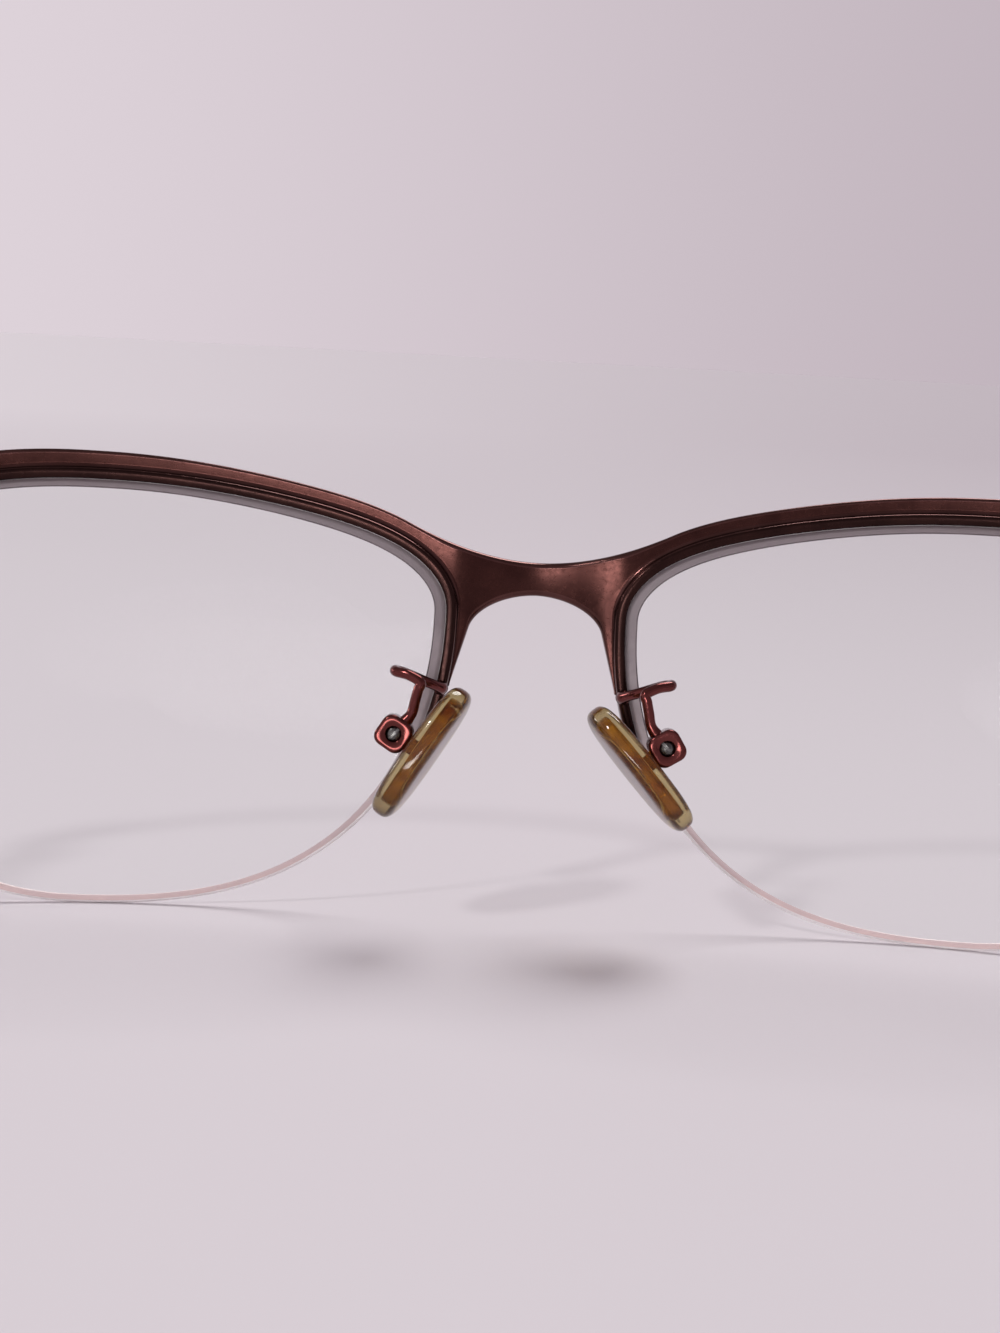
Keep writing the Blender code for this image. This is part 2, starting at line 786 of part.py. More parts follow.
def hinge_mesh(way):
    """One half of the hinge: the front's half keeps knuckles 1, 3 and 5, the temple's 2 and 4."""
    count = 5
    pitch = HINGE_HEIGHT / count
    low = -HINGE_HEIGHT / 2
    body = extrusion(hinge_outline(way), low, -low)
    room = KNUCKLE_RADIUS + KNUCKLE_GAP
    cutters = []
    for i in range(count):
        mine = (i % 2 == 0) == (way > 0)
        if mine:
            continue
        bottom = low + i * pitch - KNUCKLE_GAP / 2
        top = bottom + pitch + KNUCKLE_GAP
        if i == 0:
            bottom -= KNUCKLE_GAP
        if i == count - 1:
            top += KNUCKLE_GAP
        cutters.append(turned([(0, bottom), (room, bottom), (room, top), (0, top)], 14))
    bore = HINGE_SCREW_DIAMETER / 2 + SCREW_CLEARANCE
    reach = HINGE_HEIGHT
    cutters.append(turned([(0, -reach), (bore, -reach), (bore, reach), (0, reach)], 12))
    return bake(body, cutters=cutters)


def hinge_screw_mesh():
    length = HINGE_HEIGHT + HINGE_HEAD_HEIGHT + 2 * KNUCKLE_GAP
    screw = screw_with_slot(
        HINGE_SCREW_DIAMETER, length, HINGE_SCREW_HEAD, HINGE_HEAD_HEIGHT, 0.00034, 0.00022, 12
    )
    seat = HINGE_HEIGHT / 2 + KNUCKLE_GAP + HINGE_HEAD_HEIGHT
    return moved(screw, Matrix.Translation((0, 0, seat)))


# Temple and tip


def temple_line(s):
    """Middle of the temple s metres behind the hinge, about the hinge axis, and its dip below level."""
    out = FRONT_HALF_WIDTH - HINGE_OUT - TEMPLE_THICKNESS / 2
    inward = TIP_INWARD * max(0.0, (s - EAR_BEND_START) / (TEMPLE_LENGTH - EAR_BEND_START)) ** 2
    arc = EAR_BEND_RADIUS * EAR_BEND
    dip = EAR_BEND * min(max((s - EAR_BEND_START) / arc, 0.0), 1.0)
    back = min(s, EAR_BEND_START) + EAR_BEND_RADIUS * math.sin(dip)
    down = EAR_BEND_RADIUS * (1 - math.cos(dip))
    straight = max(s - EAR_BEND_START - arc, 0.0)
    back += straight * math.cos(dip)
    down += straight * math.sin(dip)
    return Vector((out - inward, -back, -down)), dip


def temple_ring(s, section):
    """A section (thickness way, height way) placed square to the temple's line at s."""
    centre, dip = temple_line(s)
    up = Vector((0, -math.sin(dip), math.cos(dip)))
    return [centre + Vector((x, 0, 0)) + up * z for x, z in section]


def rounded_bar(thickness, height, edge):
    x, z = thickness / 2, height / 2
    return [
        (x, -z + edge), (x, z - edge), (x - edge, z), (-x + edge, z),
        (-x, z - edge), (-x, -z + edge), (-x + edge, -z), (x - edge, -z),
    ]


def oval_bar(thickness, height, count=12, power=2.5):
    points = []
    for i in range(count):
        angle = math.tau * (i + 0.5) / count
        c, s = math.cos(angle), math.sin(angle)
        x = math.copysign(abs(c) ** (2 / power), c) * thickness / 2
        z = math.copysign(abs(s) ** (2 / power), s) * height / 2
        points.append((x, z))
    return points


def core_end():
    return TEMPLE_LENGTH - CORE_SHORT


def temple_mesh():
    """A flat blade that narrows to the tip, then the core wire that runs on inside it."""
    rings = []
    for s in steps(JOINT_GAP, TIP_START, 9):
        share = smooth(s / TIP_START)
        height = mix(TEMPLE_HEIGHT, TEMPLE_NECK_HEIGHT, share)
        rings.append(temple_ring(s, rounded_bar(TEMPLE_THICKNESS, height, EDGE_ROUND)))
    shoulder = TIP_START + TIP_SHOULDER
    run = [shoulder] + steps(EAR_BEND_START, core_end(), 8)
    for s in run:
        rings.append(temple_ring(s, rounded_bar(CORE_THICKNESS, CORE_HEIGHT, EDGE_ROUND)))
    return finish_mesh(loft(rings))


def tip_size(s):
    """Thickness and height of the tip: it swells towards the ear and ends round."""
    start = TIP_START + TIP_WALL_GAP * 4
    swell = smooth((s - start) / (TEMPLE_LENGTH * 0.9 - start))
    height = mix(TIP_HEIGHT_START, TIP_HEIGHT, swell)
    thickness = mix(TIP_THICKNESS * 0.82, TIP_THICKNESS, swell)
    left = max(TEMPLE_LENGTH - s, 0.0)
    radius = TIP_HEIGHT / 2
    if left < radius:
        round_off = math.sqrt(max(1 - (1 - left / radius) ** 2, 0.02))
        height *= round_off
        thickness *= mix(round_off, 1.0, 0.35)
    entry = (s - start) / TIP_LIP
    if entry < 1:
        height *= mix(0.84, 1.0, entry)
        thickness *= mix(0.84, 1.0, entry)
    return thickness, height


def tip_mesh():
    """The moulded tip: a sleeve closed at its far end, with a bore that the core wire fills."""
    start = TIP_START + TIP_WALL_GAP * 4
    radius = TIP_HEIGHT / 2
    body = [start, start + TIP_LIP] + steps(start + 10 * TIP_LIP, EAR_BEND_START, 1)
    body += steps(EAR_BEND_START, TEMPLE_LENGTH - radius, 10)[1:]
    body += [TEMPLE_LENGTH - radius * share for share in (0.6, 0.3, 0.1, 0.0)]
    outer = [temple_ring(s, oval_bar(*tip_size(s))) for s in body]
    room = 2.4 * TIP_WALL_GAP
    hole = oval_bar(CORE_THICKNESS + room, CORE_HEIGHT + room, 12, 5)
    depths = [start] + steps(EAR_BEND_START, core_end() + TIP_WALL_GAP * 5, 8)
    bore = [temple_ring(s, hole) for s in depths]
    return finish_mesh(loft(bore[::-1] + outer))


# Nose pads


def pad_frame():
    """Place and axes of the pad box as worn: x to the pad, y back along the screw, z up the pad."""
    c, s = math.cos(BOX_TILT), math.sin(BOX_TILT)
    at = leaned(PIVOT_OUT, PIVOT_RISE, PIVOT_BACK)
    x = leaned(-c, -s, 0)
    z = leaned(-s, c, 0)
    y = z.cross(x)
    frame = Matrix((x, y, z)).transposed().to_4x4()
    frame.translation = at
    return frame


def rounded_square(half, edge, parts=2):
    points = []
    for quarter, (x, z) in enumerate(((1, 1), (-1, 1), (-1, -1), (1, -1))):
        for i in range(parts + 1):
            angle = math.pi / 2 * (quarter + i / parts)
            across = x * (half - edge) + edge * math.cos(angle)
            up = z * (half - edge) + edge * math.sin(angle)
            points.append((across, up))
    return points


def box_mesh():
    """A clevis for the pad's tab, about the screw axis: open towards the pad, with a countersunk seat."""
    half, deep = BOX_SIZE / 2, BOX_DEPTH / 2
    shoulder = BOX_ROUND * 0.35
    rings = []
    small = shoulder * 0.6
    for inset, y in ((small, -deep), (0, -deep + small), (0, deep - shoulder), (shoulder, deep)):
        ring = rounded_square(half - inset, BOX_ROUND - inset)
        rings.append([Vector((x, y, z)) for x, z in ring])
    body = finish_mesh(loft(rings))
    slot = TAB_THICKNESS + 2 * SLOT_GAP
    reach = half - BOX_WALL
    length = half + reach + BOX_SIZE
    room = block((length, slot, 2 * reach), (length / 2 - reach, 0, 0))
    bore = PAD_SCREW_DIAMETER / 2 + SCREW_CLEARANCE
    seat = PAD_SCREW_HEAD / 2 + SCREW_CLEARANCE
    sink = PAD_HEAD_HEIGHT + SCREW_CLEARANCE * 1.5
    countersink = [(seat, BOX_DEPTH), (seat, deep - sink * 0.5), (bore, deep - sink), (bore, -BOX_DEPTH)]
    hole = turned([(0, BOX_DEPTH), *countersink, (0, -BOX_DEPTH)], 12)
    hole = moved(hole, Matrix.Rotation(-math.pi / 2, 4, "X"))
    return bake(body, cutters=[room, hole])


def pad_screw_mesh():
    length = BOX_DEPTH + SCREW_CLEARANCE
    screw = screw_with_slot(
        PAD_SCREW_DIAMETER, length, PAD_SCREW_HEAD, PAD_HEAD_HEIGHT, 0.00030, 0.00018, 12
    )
    seated = Matrix.Translation((0, BOX_DEPTH / 2 - 0.00004, 0))
    return moved(screw, seated @ Matrix.Rotation(-math.pi / 2, 4, "X"))


def oval(length, width, count, power=2.3):
    points = []
    for i in range(count):
        angle = math.tau * i / count
        c, s = math.cos(angle), math.sin(angle)
        across = math.copysign(abs(c) ** (2 / power), c) * width / 2
        along = math.copysign(abs(s) ** (2 / power), s) * length / 2
        points.append((across, along))
    return points


def domed_oval(length, width, count, levels):
    """An oval plate about X: levels are (height along X, share of the outline)."""
    rings = []
    for height, share in levels:
        rings.append([Vector((height, y, z)) for y, z in oval(length * share, width * share, count)])
    return finish_mesh(loft(rings), 50)


def core_mesh(extra=0.0):
    """The pad's core plate with its pierced tab, about the screw axis; extra makes the hollow for it."""
    half = PAD_CORE_THICKNESS / 2 + extra
    at = PAD_DISTANCE
    length, width = PAD_CORE_LENGTH + 2 * extra, PAD_CORE_WIDTH + 2 * extra
    plate = domed_oval(length, width, 18, [(at - half, 0.97), (at - half * 0.5, 1.0), (at + half, 1.0)])
    plate = moved(plate, splay_matrix())
    end = TAB_WIDTH / 2 + extra
    arc = [(-end * math.sin(a), end * math.cos(a)) for a in steps(0.0, math.pi, 8)]
    outline = [(at, end), *arc, (at, -end)]
    thick = TAB_THICKNESS / 2 + extra
    tab = extrusion([(x, z) for x, z in outline], -thick, thick)
    tab = moved(tab, Matrix.Rotation(math.pi / 2, 4, "X"))
    cutters = []
    if extra == 0.0:
        bore = PAD_SCREW_DIAMETER / 2 + SCREW_CLEARANCE
        hole = turned([(0, -0.002), (bore, -0.002), (bore, 0.002), (0, 0.002)], 12)
        cutters.append(moved(hole, Matrix.Rotation(-math.pi / 2, 4, "X")))
    return bake(plate, joined=[tab], cutters=cutters)


def splay_matrix():
    """Turns the pad about its own length, so that both pads open towards the back."""
    middle = Matrix.Translation((PAD_DISTANCE, 0, 0))
    return middle @ Matrix.Rotation(PAD_SPLAY, 4, "Z") @ middle.inverted()


def pad_mesh():
    """The silicone pad: domed to the nose, flatter behind, hollow for its core."""
    half = PAD_THICKNESS / 2
    at = PAD_DISTANCE
    levels = [
        (at - half, 0.66),
        (at - half * 0.9, 0.82),
        (at - half * 0.65, 0.94),
        (at - half * 0.1, 1.0),
        (at + half * 0.45, 0.98),
        (at + half * 0.82, 0.89),
        (at + half, 0.68),
    ]
    body = moved(domed_oval(PAD_LENGTH, PAD_WIDTH, 24, levels), splay_matrix())
    return bake(body, cutters=[core_mesh(PAD_CORE_GAP)])


def arm_curve():
    """The gooseneck: from the eyewire's back out round a hairpin, in to an elbow and down to the box."""
    radius = ARM_DIAMETER / 2
    seat = edge_offset(ARM_FOOT, LENS_GAP + RIM_HEIGHT / 2)
    seat_depth = depth(*seat) + RIM_DEPTH / 2 + ARM_SEAT_GAP
    frame = pad_frame()
    box_top = frame @ Vector((0.0002, -0.0001, BOX_SIZE / 2 + ARM_SEAT_GAP))
    above_box = frame @ Vector((0.00025, -0.0001, BOX_SIZE / 2 + 0.0008))
    out, rise, back = ARM_LOOP_OUT, ARM_LOOP_RISE, ARM_LOOP_BACK
    turn_out, turn_rise, turn_back = ARM_ELBOW_OUT, ARM_ELBOW_RISE, ARM_ELBOW_BACK
    elbow = leaned(turn_out, turn_rise, turn_back)
    points = [
        leaned(seat.x, seat.y, seat_depth),
        leaned(seat.x + 0.0001, seat.y + 0.00008, seat_depth + radius * 1.2),
        leaned(mix(seat.x, out, 0.35), mix(seat.y, rise, 0.4), mix(seat_depth, back, 0.55)),
        leaned(mix(seat.x, out, 0.75), mix(seat.y, rise, 0.8), mix(seat_depth, back, 0.66)),
        leaned(out - radius * 0.35, rise - 0.00005, back - 0.0007),
        leaned(out, rise, back),
        leaned(out - radius * 0.45, rise - 0.0001, back + 0.0007),
        leaned(mix(turn_out, out, 0.45), mix(turn_rise, rise, 0.65), mix(turn_back, back, 0.2)),
        elbow,
        elbow.lerp(above_box, 0.25),
        elbow.lerp(above_box, 0.6),
        above_box,
        box_top,
    ]
    return wire(through(points, 3), radius, 8)


# Assembly


def pieces():
    """Each piece's name, shape, finish and carrier."""
    metal = material("brown_metal", (0.085, 0.035, 0.028), 0.38, 0.85)
    steel = material("screw_steel", (0.55, 0.54, 0.53), 0.3, 1.0)
    clear = material("clear_lens", (0.86, 0.88, 0.90), 0.05, 0.0, 0.25)
    nylon = material("nylon", (0.80, 0.78, 0.76), 0.45, 0.0, 0.8)
    silicone = material("silicone", (0.62, 0.58, 0.42), 0.35, 0.0, 0.6)
    amber = material("amber_core", (0.42, 0.22, 0.05), 0.3)
    tip = material("tortoise_tip", (0.10, 0.035, 0.025), 0.25)
    return {
        "eyewire": (eyewire_mesh(), metal, "front"),
        "liner": (liner_mesh(), nylon, "front"),
        "lens": (lens_mesh(), clear, "front"),
        "nylon_cord": (cord_curve(), nylon, "front"),
        "endpiece": (endpiece_mesh(), metal, "front"),
        "front_hinge": (hinge_mesh(1), metal, "hinge_fixed"),
        "hinge_screw": (hinge_screw_mesh(), steel, "hinge_fixed"),
        "pad_arm": (arm_curve(), metal, "front"),
        "pad_box": (box_mesh(), metal, "box"),
        "pad_screw": (pad_screw_mesh(), steel, "box"),
        "pad_core": (core_mesh(), amber, "pad"),
        "nose_pad": (pad_mesh(), silicone, "pad"),
        "temple_hinge": (hinge_mesh(-1), metal, "temple"),
        "temple": (temple_mesh(), metal, "temple"),
        "temple_tip": (tip_mesh(), tip, "temple"),
    }


def assemble():
    spectacles = empty("spectacles")
    metal_front = front_mesh()
    made = pieces()
    finish = made["eyewire"][1]
    place("front", metal_front, finish, spectacles)
    hinge = Matrix.Translation(hinge_place())
    frame = pad_frame()
    for side, mirror, rest in (("right", 1, PAD_LEAN_REST), ("left", -1, -PAD_LEAN_REST)):
        half = empty(f"{side}_half", spectacles)
        half.scale = (mirror, 1, 1)
        rock = Matrix.Rotation(PAD_TILT + rest - BOX_TILT, 4, "Y")
        carriers = {
            "front": half,
            "hinge_fixed": empty(f"hinge_{side}", half, hinge),
            "temple": empty(f"temple_axis_{side}", half, hinge),
            "box": empty(f"pad_box_axis_{side}", half, frame),
            "pad": empty(f"pad_axis_{side}", half, frame @ rock),
        }
        for name, (data, look, carrier) in made.items():
            place(f"{name}_{side}", data, look, carriers[carrier])
    return spectacles


def corners_of(objects):
    graph = bpy.context.evaluated_depsgraph_get()
    graph.update()
    found = []
    for obj in objects:
        evaluated = obj.evaluated_get(graph)
        mesh = evaluated.to_mesh()
        world = obj.matrix_world
        found += [tuple(world @ vertex.co) for vertex in mesh.vertices]
        evaluated.to_mesh_clear()
    return np.array(found)


def stand_on_table(spectacles):
    """Tips the spectacles until cords and tips both touch, and centres the footprint."""
    solids = [obj for obj in bpy.data.objects if obj.type in ("MESH", "CURVE")]
    points = corners_of(solids)
    front = points[:, 1] > -TEMPLE_LENGTH / 3

    def turned_points(angle):
        c, s = math.cos(angle), math.sin(angle)
        y = points[:, 1] * c - points[:, 2] * s
        z = points[:, 1] * s + points[:, 2] * c
        return y, z

    low, high = -0.3, 0.3
    for _ in range(50):
        angle = (low + high) / 2
        z = turned_points(angle)[1]
        if z[front].min() < z[~front].min():
            high, low = high, angle
        else:
            high = angle
    y, z = turned_points((low + high) / 2)
    spectacles.rotation_euler = ((low + high) / 2, 0, 0)
    spectacles.location = (0, -(y.min() + y.max()) / 2, -z.min())


def main():
    clear_scene()
    spectacles = assemble()
    bpy.context.view_layer.update()
    stand_on_table(spectacles)
    bpy.context.view_layer.update()
    for side in ("right", "left"):
        for axis, kind in (("temple_axis", "fold"), ("pad_axis", "rock")):
            matrix = bpy.data.objects[f"{axis}_{side}"].matrix_world
            print(side, kind, [round(v, 6) for v in matrix.translation])
    print("tilt of the front on the table", round(math.degrees(LEAN - spectacles.rotation_euler.x), 3))


main()
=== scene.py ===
"""The looks of half-rim spectacles with nylon cords, seen from the wearer's side.

The fine forms repeat the driving dimensions of the solids, in metres, in the frame in which the
spectacles are worn: X to the wearer's right, Y the way the wearer looks, Z up, the origin midway
between the lenses. The right temple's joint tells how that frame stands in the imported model.
"""

import json
import math

import bmesh
import bpy
from mathutils import Matrix, Vector

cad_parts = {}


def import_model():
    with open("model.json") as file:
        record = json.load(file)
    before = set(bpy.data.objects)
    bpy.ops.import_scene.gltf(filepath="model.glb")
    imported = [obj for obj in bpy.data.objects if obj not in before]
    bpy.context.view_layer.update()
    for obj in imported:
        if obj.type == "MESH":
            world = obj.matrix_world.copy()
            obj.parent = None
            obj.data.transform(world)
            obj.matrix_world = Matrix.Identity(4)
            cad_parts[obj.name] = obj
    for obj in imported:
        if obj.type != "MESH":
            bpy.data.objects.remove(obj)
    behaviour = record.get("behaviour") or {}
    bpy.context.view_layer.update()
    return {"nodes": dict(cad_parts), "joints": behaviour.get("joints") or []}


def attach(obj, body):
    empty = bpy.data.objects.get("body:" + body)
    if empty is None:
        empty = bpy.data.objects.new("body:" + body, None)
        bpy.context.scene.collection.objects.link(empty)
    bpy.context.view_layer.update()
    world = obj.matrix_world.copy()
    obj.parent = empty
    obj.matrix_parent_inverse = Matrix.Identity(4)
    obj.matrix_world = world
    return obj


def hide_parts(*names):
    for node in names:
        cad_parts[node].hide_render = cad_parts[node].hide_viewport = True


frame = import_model()

SIDES = (("right", 1), ("left", -1))
SKIN = 0.0001  # keeps round forms inside the faceted solids' box

# Lens outline
LENS_WIDTH = 0.053
LENS_HEIGHT = 0.0372
HALF_GAP = 0.008
LENS_OUT = HALF_GAP + LENS_WIDTH / 2
TOP_OUTWARD = 0.0033
BOTTOM_OUTWARD = 0.0048
NASAL_RISE = 0.0086
TEMPORAL_RISE = 0.0045
POWER_TOP_NASAL = 2.07
POWER_BOTTOM_NASAL = 2.28
POWER_BOTTOM_TEMPORAL = 2.20
POWER_TOP_TEMPORAL = 2.45
NASAL_FULLNESS = 0.0004
LENS_EDGE = 0.0021
LENS_CENTRE = 0.0017
LENS_BEVEL = 0.00008
LENS_FROSTING = 0.00088
FROSTING_SLOPE = 0.00038
FROSTING_LOW = 0.56  # share of the width at the bottom of the lens
FROSTING_HIGH = 0.7  # and at its top
LOW_START = 0.15
LOW_BLEND = 0.6
LINE_WIDTH = 0.00012
LINE_DROP = 0.00003
GROOVE_HALF = 0.00031
GROOVE_FLOOR = 0.6
GROOVE_DEPTH = 0.00036

# The front's bend round the face and its lean
BASE_RADIUS = 0.106
WRAP = math.radians(5.0)
LEAN = math.radians(8.0)
BRIDGE_FORWARD = 0.0012
BEND_BLEND = 0.002

# Eyewire, liner and cord
RIM_HALF = 0.0011
RIM_HEIGHT = 0.00098
RIM_INNER_ROUND = 0.00022
RIM_SHOULDER = 0.00046
RIM_TEMPLE_END = math.radians(-4.0)
RIM_NOSE_END = math.radians(200.0)
CHANNEL_DEPTH = 0.00048
CHANNEL_HALF = 0.0003
LENS_GAP = 0.00004
CORD_RADIUS = 0.00027
CORD_OUTWARD = 0.00006
CORD_TUCK = math.radians(4.0)

# Brow and bridge plate
PLATE_THICKNESS = 0.0012
BROW_HEIGHT = 0.00232
BROW_OUTER_HEIGHT = 0.00280
BROW_END_HEIGHT = 0.0017
BROW_WIDENS = math.radians(130.0)
BROW_WIDE = math.radians(45.0)
BROW_JOIN = math.radians(147.0)
BRIDGE_CORNER = math.radians(158.0)
BRIDGE_TOP = 0.0134
ARCH_TOP = 0.01046
ARCH_HALF_WIDTH = 0.0060
ARCH_SPRING = 0.0069
ARCH_POWER = 1.87
ARCH_START = math.radians(33.0)
LEG_END = math.radians(191.0)
LEG_TIP = -0.00002
FILLET_WIDTH = 0.00050
FILLET_RISE = 0.00046
FILLET_END_WIDTH = 0.35  # share left at the leg's tip
FILLET_END_RISE = 0.3
PLATE_EDGE = 0.0005

# End pieces and hinges
ENDPIECE_LOW = math.radians(7.0)
ENDPIECE_HIGH = math.radians(27.0)
ENDPIECE_THICKNESS = 0.0012
ENDPIECE_CORNER = 1.5
ENDPIECE_ROUND = 0.00018
ENDPIECE_LEVEL = 0.6
SOLDER_GAP = 0.00004
SOLDER_DEPTH = 0.00003
FRONT_HALF_WIDTH = 0.0677
HINGE_BACK = 0.0138
HINGE_RISE = 0.0100
KNUCKLE_RADIUS = 0.00125
LEAF_THICKNESS = 0.00075
LEAF_LENGTH = 0.0044
LEAF_GAP = 0.00005
JOINT_GAP = 0.00014
HINGE_ROUND = 0.00005
LEAF_OUT = FRONT_HALF_WIDTH - ENDPIECE_THICKNESS - LEAF_GAP
HINGE_OUT = LEAF_OUT - LEAF_THICKNESS - 0.9 * KNUCKLE_RADIUS
HINGE_PLACE = Vector((HINGE_OUT, -HINGE_BACK, HINGE_RISE))

# Temples and tips
TEMPLE_LENGTH = 0.140
TEMPLE_HEIGHT = 0.0041
TEMPLE_NECK_HEIGHT = 0.0026
TEMPLE_THICKNESS = 0.0011
TEMPLE_ROUND = 0.00026
TEMPLE_END_ROUND = 0.0002
WIRE_SIZE = (0.0008, 0.0014)
WIRE_SHOWN = 0.0015
TIP_START = 0.070
TIP_GAP = 0.00024
TIP_FRONT = TIP_START + TIP_GAP
TIP_HEIGHT_START = 0.0036
TIP_HEIGHT = 0.0058
TIP_THICKNESS = 0.0027
TIP_THIN = 0.82  # share of the thickness where the tip starts
TIP_LIP = 0.0012
TIP_LIP_SIZE = 0.84
TIP_MOUTH = (0.0012, 0.0019)
TIP_MOUTH_DEPTH = 0.003
EAR_BEND_START = 0.094
EAR_BEND_RADIUS = 0.022
EAR_BEND = math.radians(46.0)
TIP_INWARD = 0.0035

# Nose pads
PIVOT = (0.01170, -0.00195, 0.0072)
BOX_TILT = math.radians(32.0)
BOX_SIZE = 0.0029
BOX_ROUND = 0.00088
BOX_EDGE = 0.00025
BOX_DEPTH = 0.0024
BOX_WALL = 0.00032
TAB_THICKNESS = 0.0009
TAB_WIDTH = 0.0013
SLOT_GAP = 0.00008
PAD_SCREW_DIAMETER = 0.0008
PAD_SCREW_HEAD = 0.0015
SCREW_SHOWN = 0.82  # the head's share that the seat leaves in view
HEAD_RISE = 0.00004
HEAD_DOME = 0.00014
HEAD_SIDE = 0.00018
HEAD_CONE = 0.00026
HEAD_DEPTH = 0.00045
HEAD_SUNK = 0.00016
SEAT_GAP = 0.00006
SEAT_DEPTH = 0.00042
SEAT_BOTTOM = 0.00062
SLOT_WIDTH = 0.00026
SLOT_DEPTH = 0.00022
PAD_SLOT_TURN = math.radians(12.0)
PAD_TILT = math.radians(36.6)
PAD_LEAN_REST = math.radians(4.9)
PAD_SPLAY = math.radians(7.0)
PAD_DISTANCE = 0.0029
PAD_LENGTH = 0.0130
PAD_WIDTH = 0.0074
PAD_THICKNESS = 0.0023
PAD_FACE = 0.6  # share of the outline that is left flat on each face
PAD_SIDE_POWERS = (3.0, 3.4)
PAD_OVAL = 2.4
PAD_CORE_LENGTH = 0.0096
PAD_CORE_WIDTH = 0.0046
PAD_CORE_THICKNESS = 0.0008
CORE_SIDES = 56
CORE_OVAL = 2.5
ARM_RADIUS = 0.00046
ARM_LOOP = (0.0120, 0.00338, 0.0054)
ARM_ELBOW = (0.0097, 0.0025, 0.0069)
ARM_FOOT = math.radians(191.5)
ARM_SOLDER = 0.45  # how much thicker the foot is
ARM_END = 0.25  # and the end at the box

# Studio
STUDIO_PALE = (0.76, 0.68, 0.73)
STUDIO_DEEP = (0.50, 0.425, 0.475)
SHADE_REACH = 0.5
WALL_TOP = 0.25  # height of the direction up to which the studio is fully bright
CEILING = 0.7
CEILING_LEVEL = 0.45
FLOOR_TINT = (0.965, 1.03, 0.985)
FAR_TINT = (1.015, 1.08, 1.035)
FLOOR_RADIUS = 6.0
FLOOR_NEAR = 0.15
FLOOR_FAR = 1.0
SUN_FROM = (0.20, 0.45, 0.75)
SUN_STRENGTH = 2.15
SUN_SPREAD = math.radians(30.0)
LAMPS = (  # name, place, target, size, power and spread in degrees
    ("fill", (-0.13, -0.64, 0.048), (0, 0.0, 0.03), (0.33, 0.085), 0.046, 40),
    ("upper", (-0.45, -0.40, 0.60), (0, 0.06, 0.02), (0.10, 0.10), 0.16, 60),
    ("side", (-0.65, 0.25, 0.20), (0, 0.07, 0.03), (0.16, 0.12), 0.07, 60),
)

# Camera: found from both lens outlines in the photograph, relative to the front
CAMERA_PLACE = (-0.00278, 0.01041, 0.16412)
CAMERA_FORWARD = (-0.00100, -0.03919, -0.99923)
CAMERA_ROLL = math.radians(3.10)
CAMERA_LENS = 49.48
CAMERA_SENSOR = 36
CAMERA_NEAR = 0.005


def smooth(x):
    x = min(max(x, 0.0), 1.0)
    return x * x * (3 - 2 * x)


def mix(a, b, x):
    return a + (b - a) * x


def steps(a, b, count):
    return [mix(a, b, i / count) for i in range(count + 1)]


def full_turn(count):
    return steps(0, math.tau, count)[:-1]


def cos_sin(angle):
    return math.cos(angle), math.sin(angle)


def bent(x, power):
    """A cosine or sine for an outline that is squarer than an ellipse where power is above 2."""
    return math.copysign(abs(x) ** (2 / power), x)


# Shape of the front, in its own plane: out from the middle, up, and back towards the wearer


def plain_edge(angle):
    c, s = cos_sin(angle)
    middle_out = TOP_OUTWARD if s >= 0 else BOTTOM_OUTWARD
    middle_up = TEMPORAL_RISE if c >= 0 else NASAL_RISE
    reach_out = LENS_WIDTH / 2 - math.copysign(middle_out, c)
    reach_up = LENS_HEIGHT / 2 - math.copysign(middle_up, s)
    if s >= 0:
        power = POWER_TOP_TEMPORAL if c >= 0 else POWER_TOP_NASAL
    else:
        power = POWER_BOTTOM_TEMPORAL if c >= 0 else POWER_BOTTOM_NASAL
    out = LENS_OUT + middle_out + reach_out * bent(c, power)
    return Vector((out, middle_up + reach_up * bent(s, power)))


def lens_edge(angle):
    """A point of the lens outline: angle 0 at the temple side, a quarter turn at the top."""
    c, s = cos_sin(angle)
    if c >= 0:
        return plain_edge(angle)
    along = plain_edge(angle + 0.01) - plain_edge(angle - 0.01)
    outwards = Vector((along.y, -along.x)).normalized()
    fuller = NASAL_FULLNESS * math.sin(2 * angle) ** 2 * math.cos(2 * angle) * math.copysign(1, s)
    return plain_edge(angle) + outwards * fuller


def edge_offset(angle, distance):
    along = lens_edge(angle + 0.01) - lens_edge(angle - 0.01)
    return lens_edge(angle) + Vector((along.y, -along.x)).normalized() * distance


def depth(out, up):
    """How far the middle of the lens lies behind the front's own plane."""
    reach = out - HALF_GAP
    held = HALF_GAP + (reach + math.hypot(reach, BEND_BLEND)) / 2
    across = held - LENS_OUT
    bowl = BASE_RADIUS - math.sqrt(BASE_RADIUS**2 - across**2 - up**2)
    forward = BRIDGE_FORWARD * (1 - smooth(out / HALF_GAP))
    return bowl + math.tan(WRAP) * across - forward


def leaned(out, up, behind):
    c, s = cos_sin(LEAN)
    return Vector((out, up * s - behind * c, up * c + behind * s))


def front_point(flat, back):
    out, up = flat
    return leaned(out, up, depth(out, up) + back)


def standing():
    """Where the worn spectacles stand in the model, from the right temple's joint."""
    joint = next(j for j in frame["joints"] if j["name"] == "temple_fold_right")
    axis = Vector(joint["axis"])
    turn = Matrix.Rotation(math.atan2(-axis.y, axis.z), 4, "X")
    return Matrix.Translation(Vector(joint["pos_m"]) - turn @ HINGE_PLACE) @ turn


STAND = standing()


# Mesh helpers


def placed(name, data):
    """An object in the scene for a mesh, a lamp or the camera."""
    made = bpy.data.objects.new(name, data)
    bpy.context.scene.collection.objects.link(made)
    return made


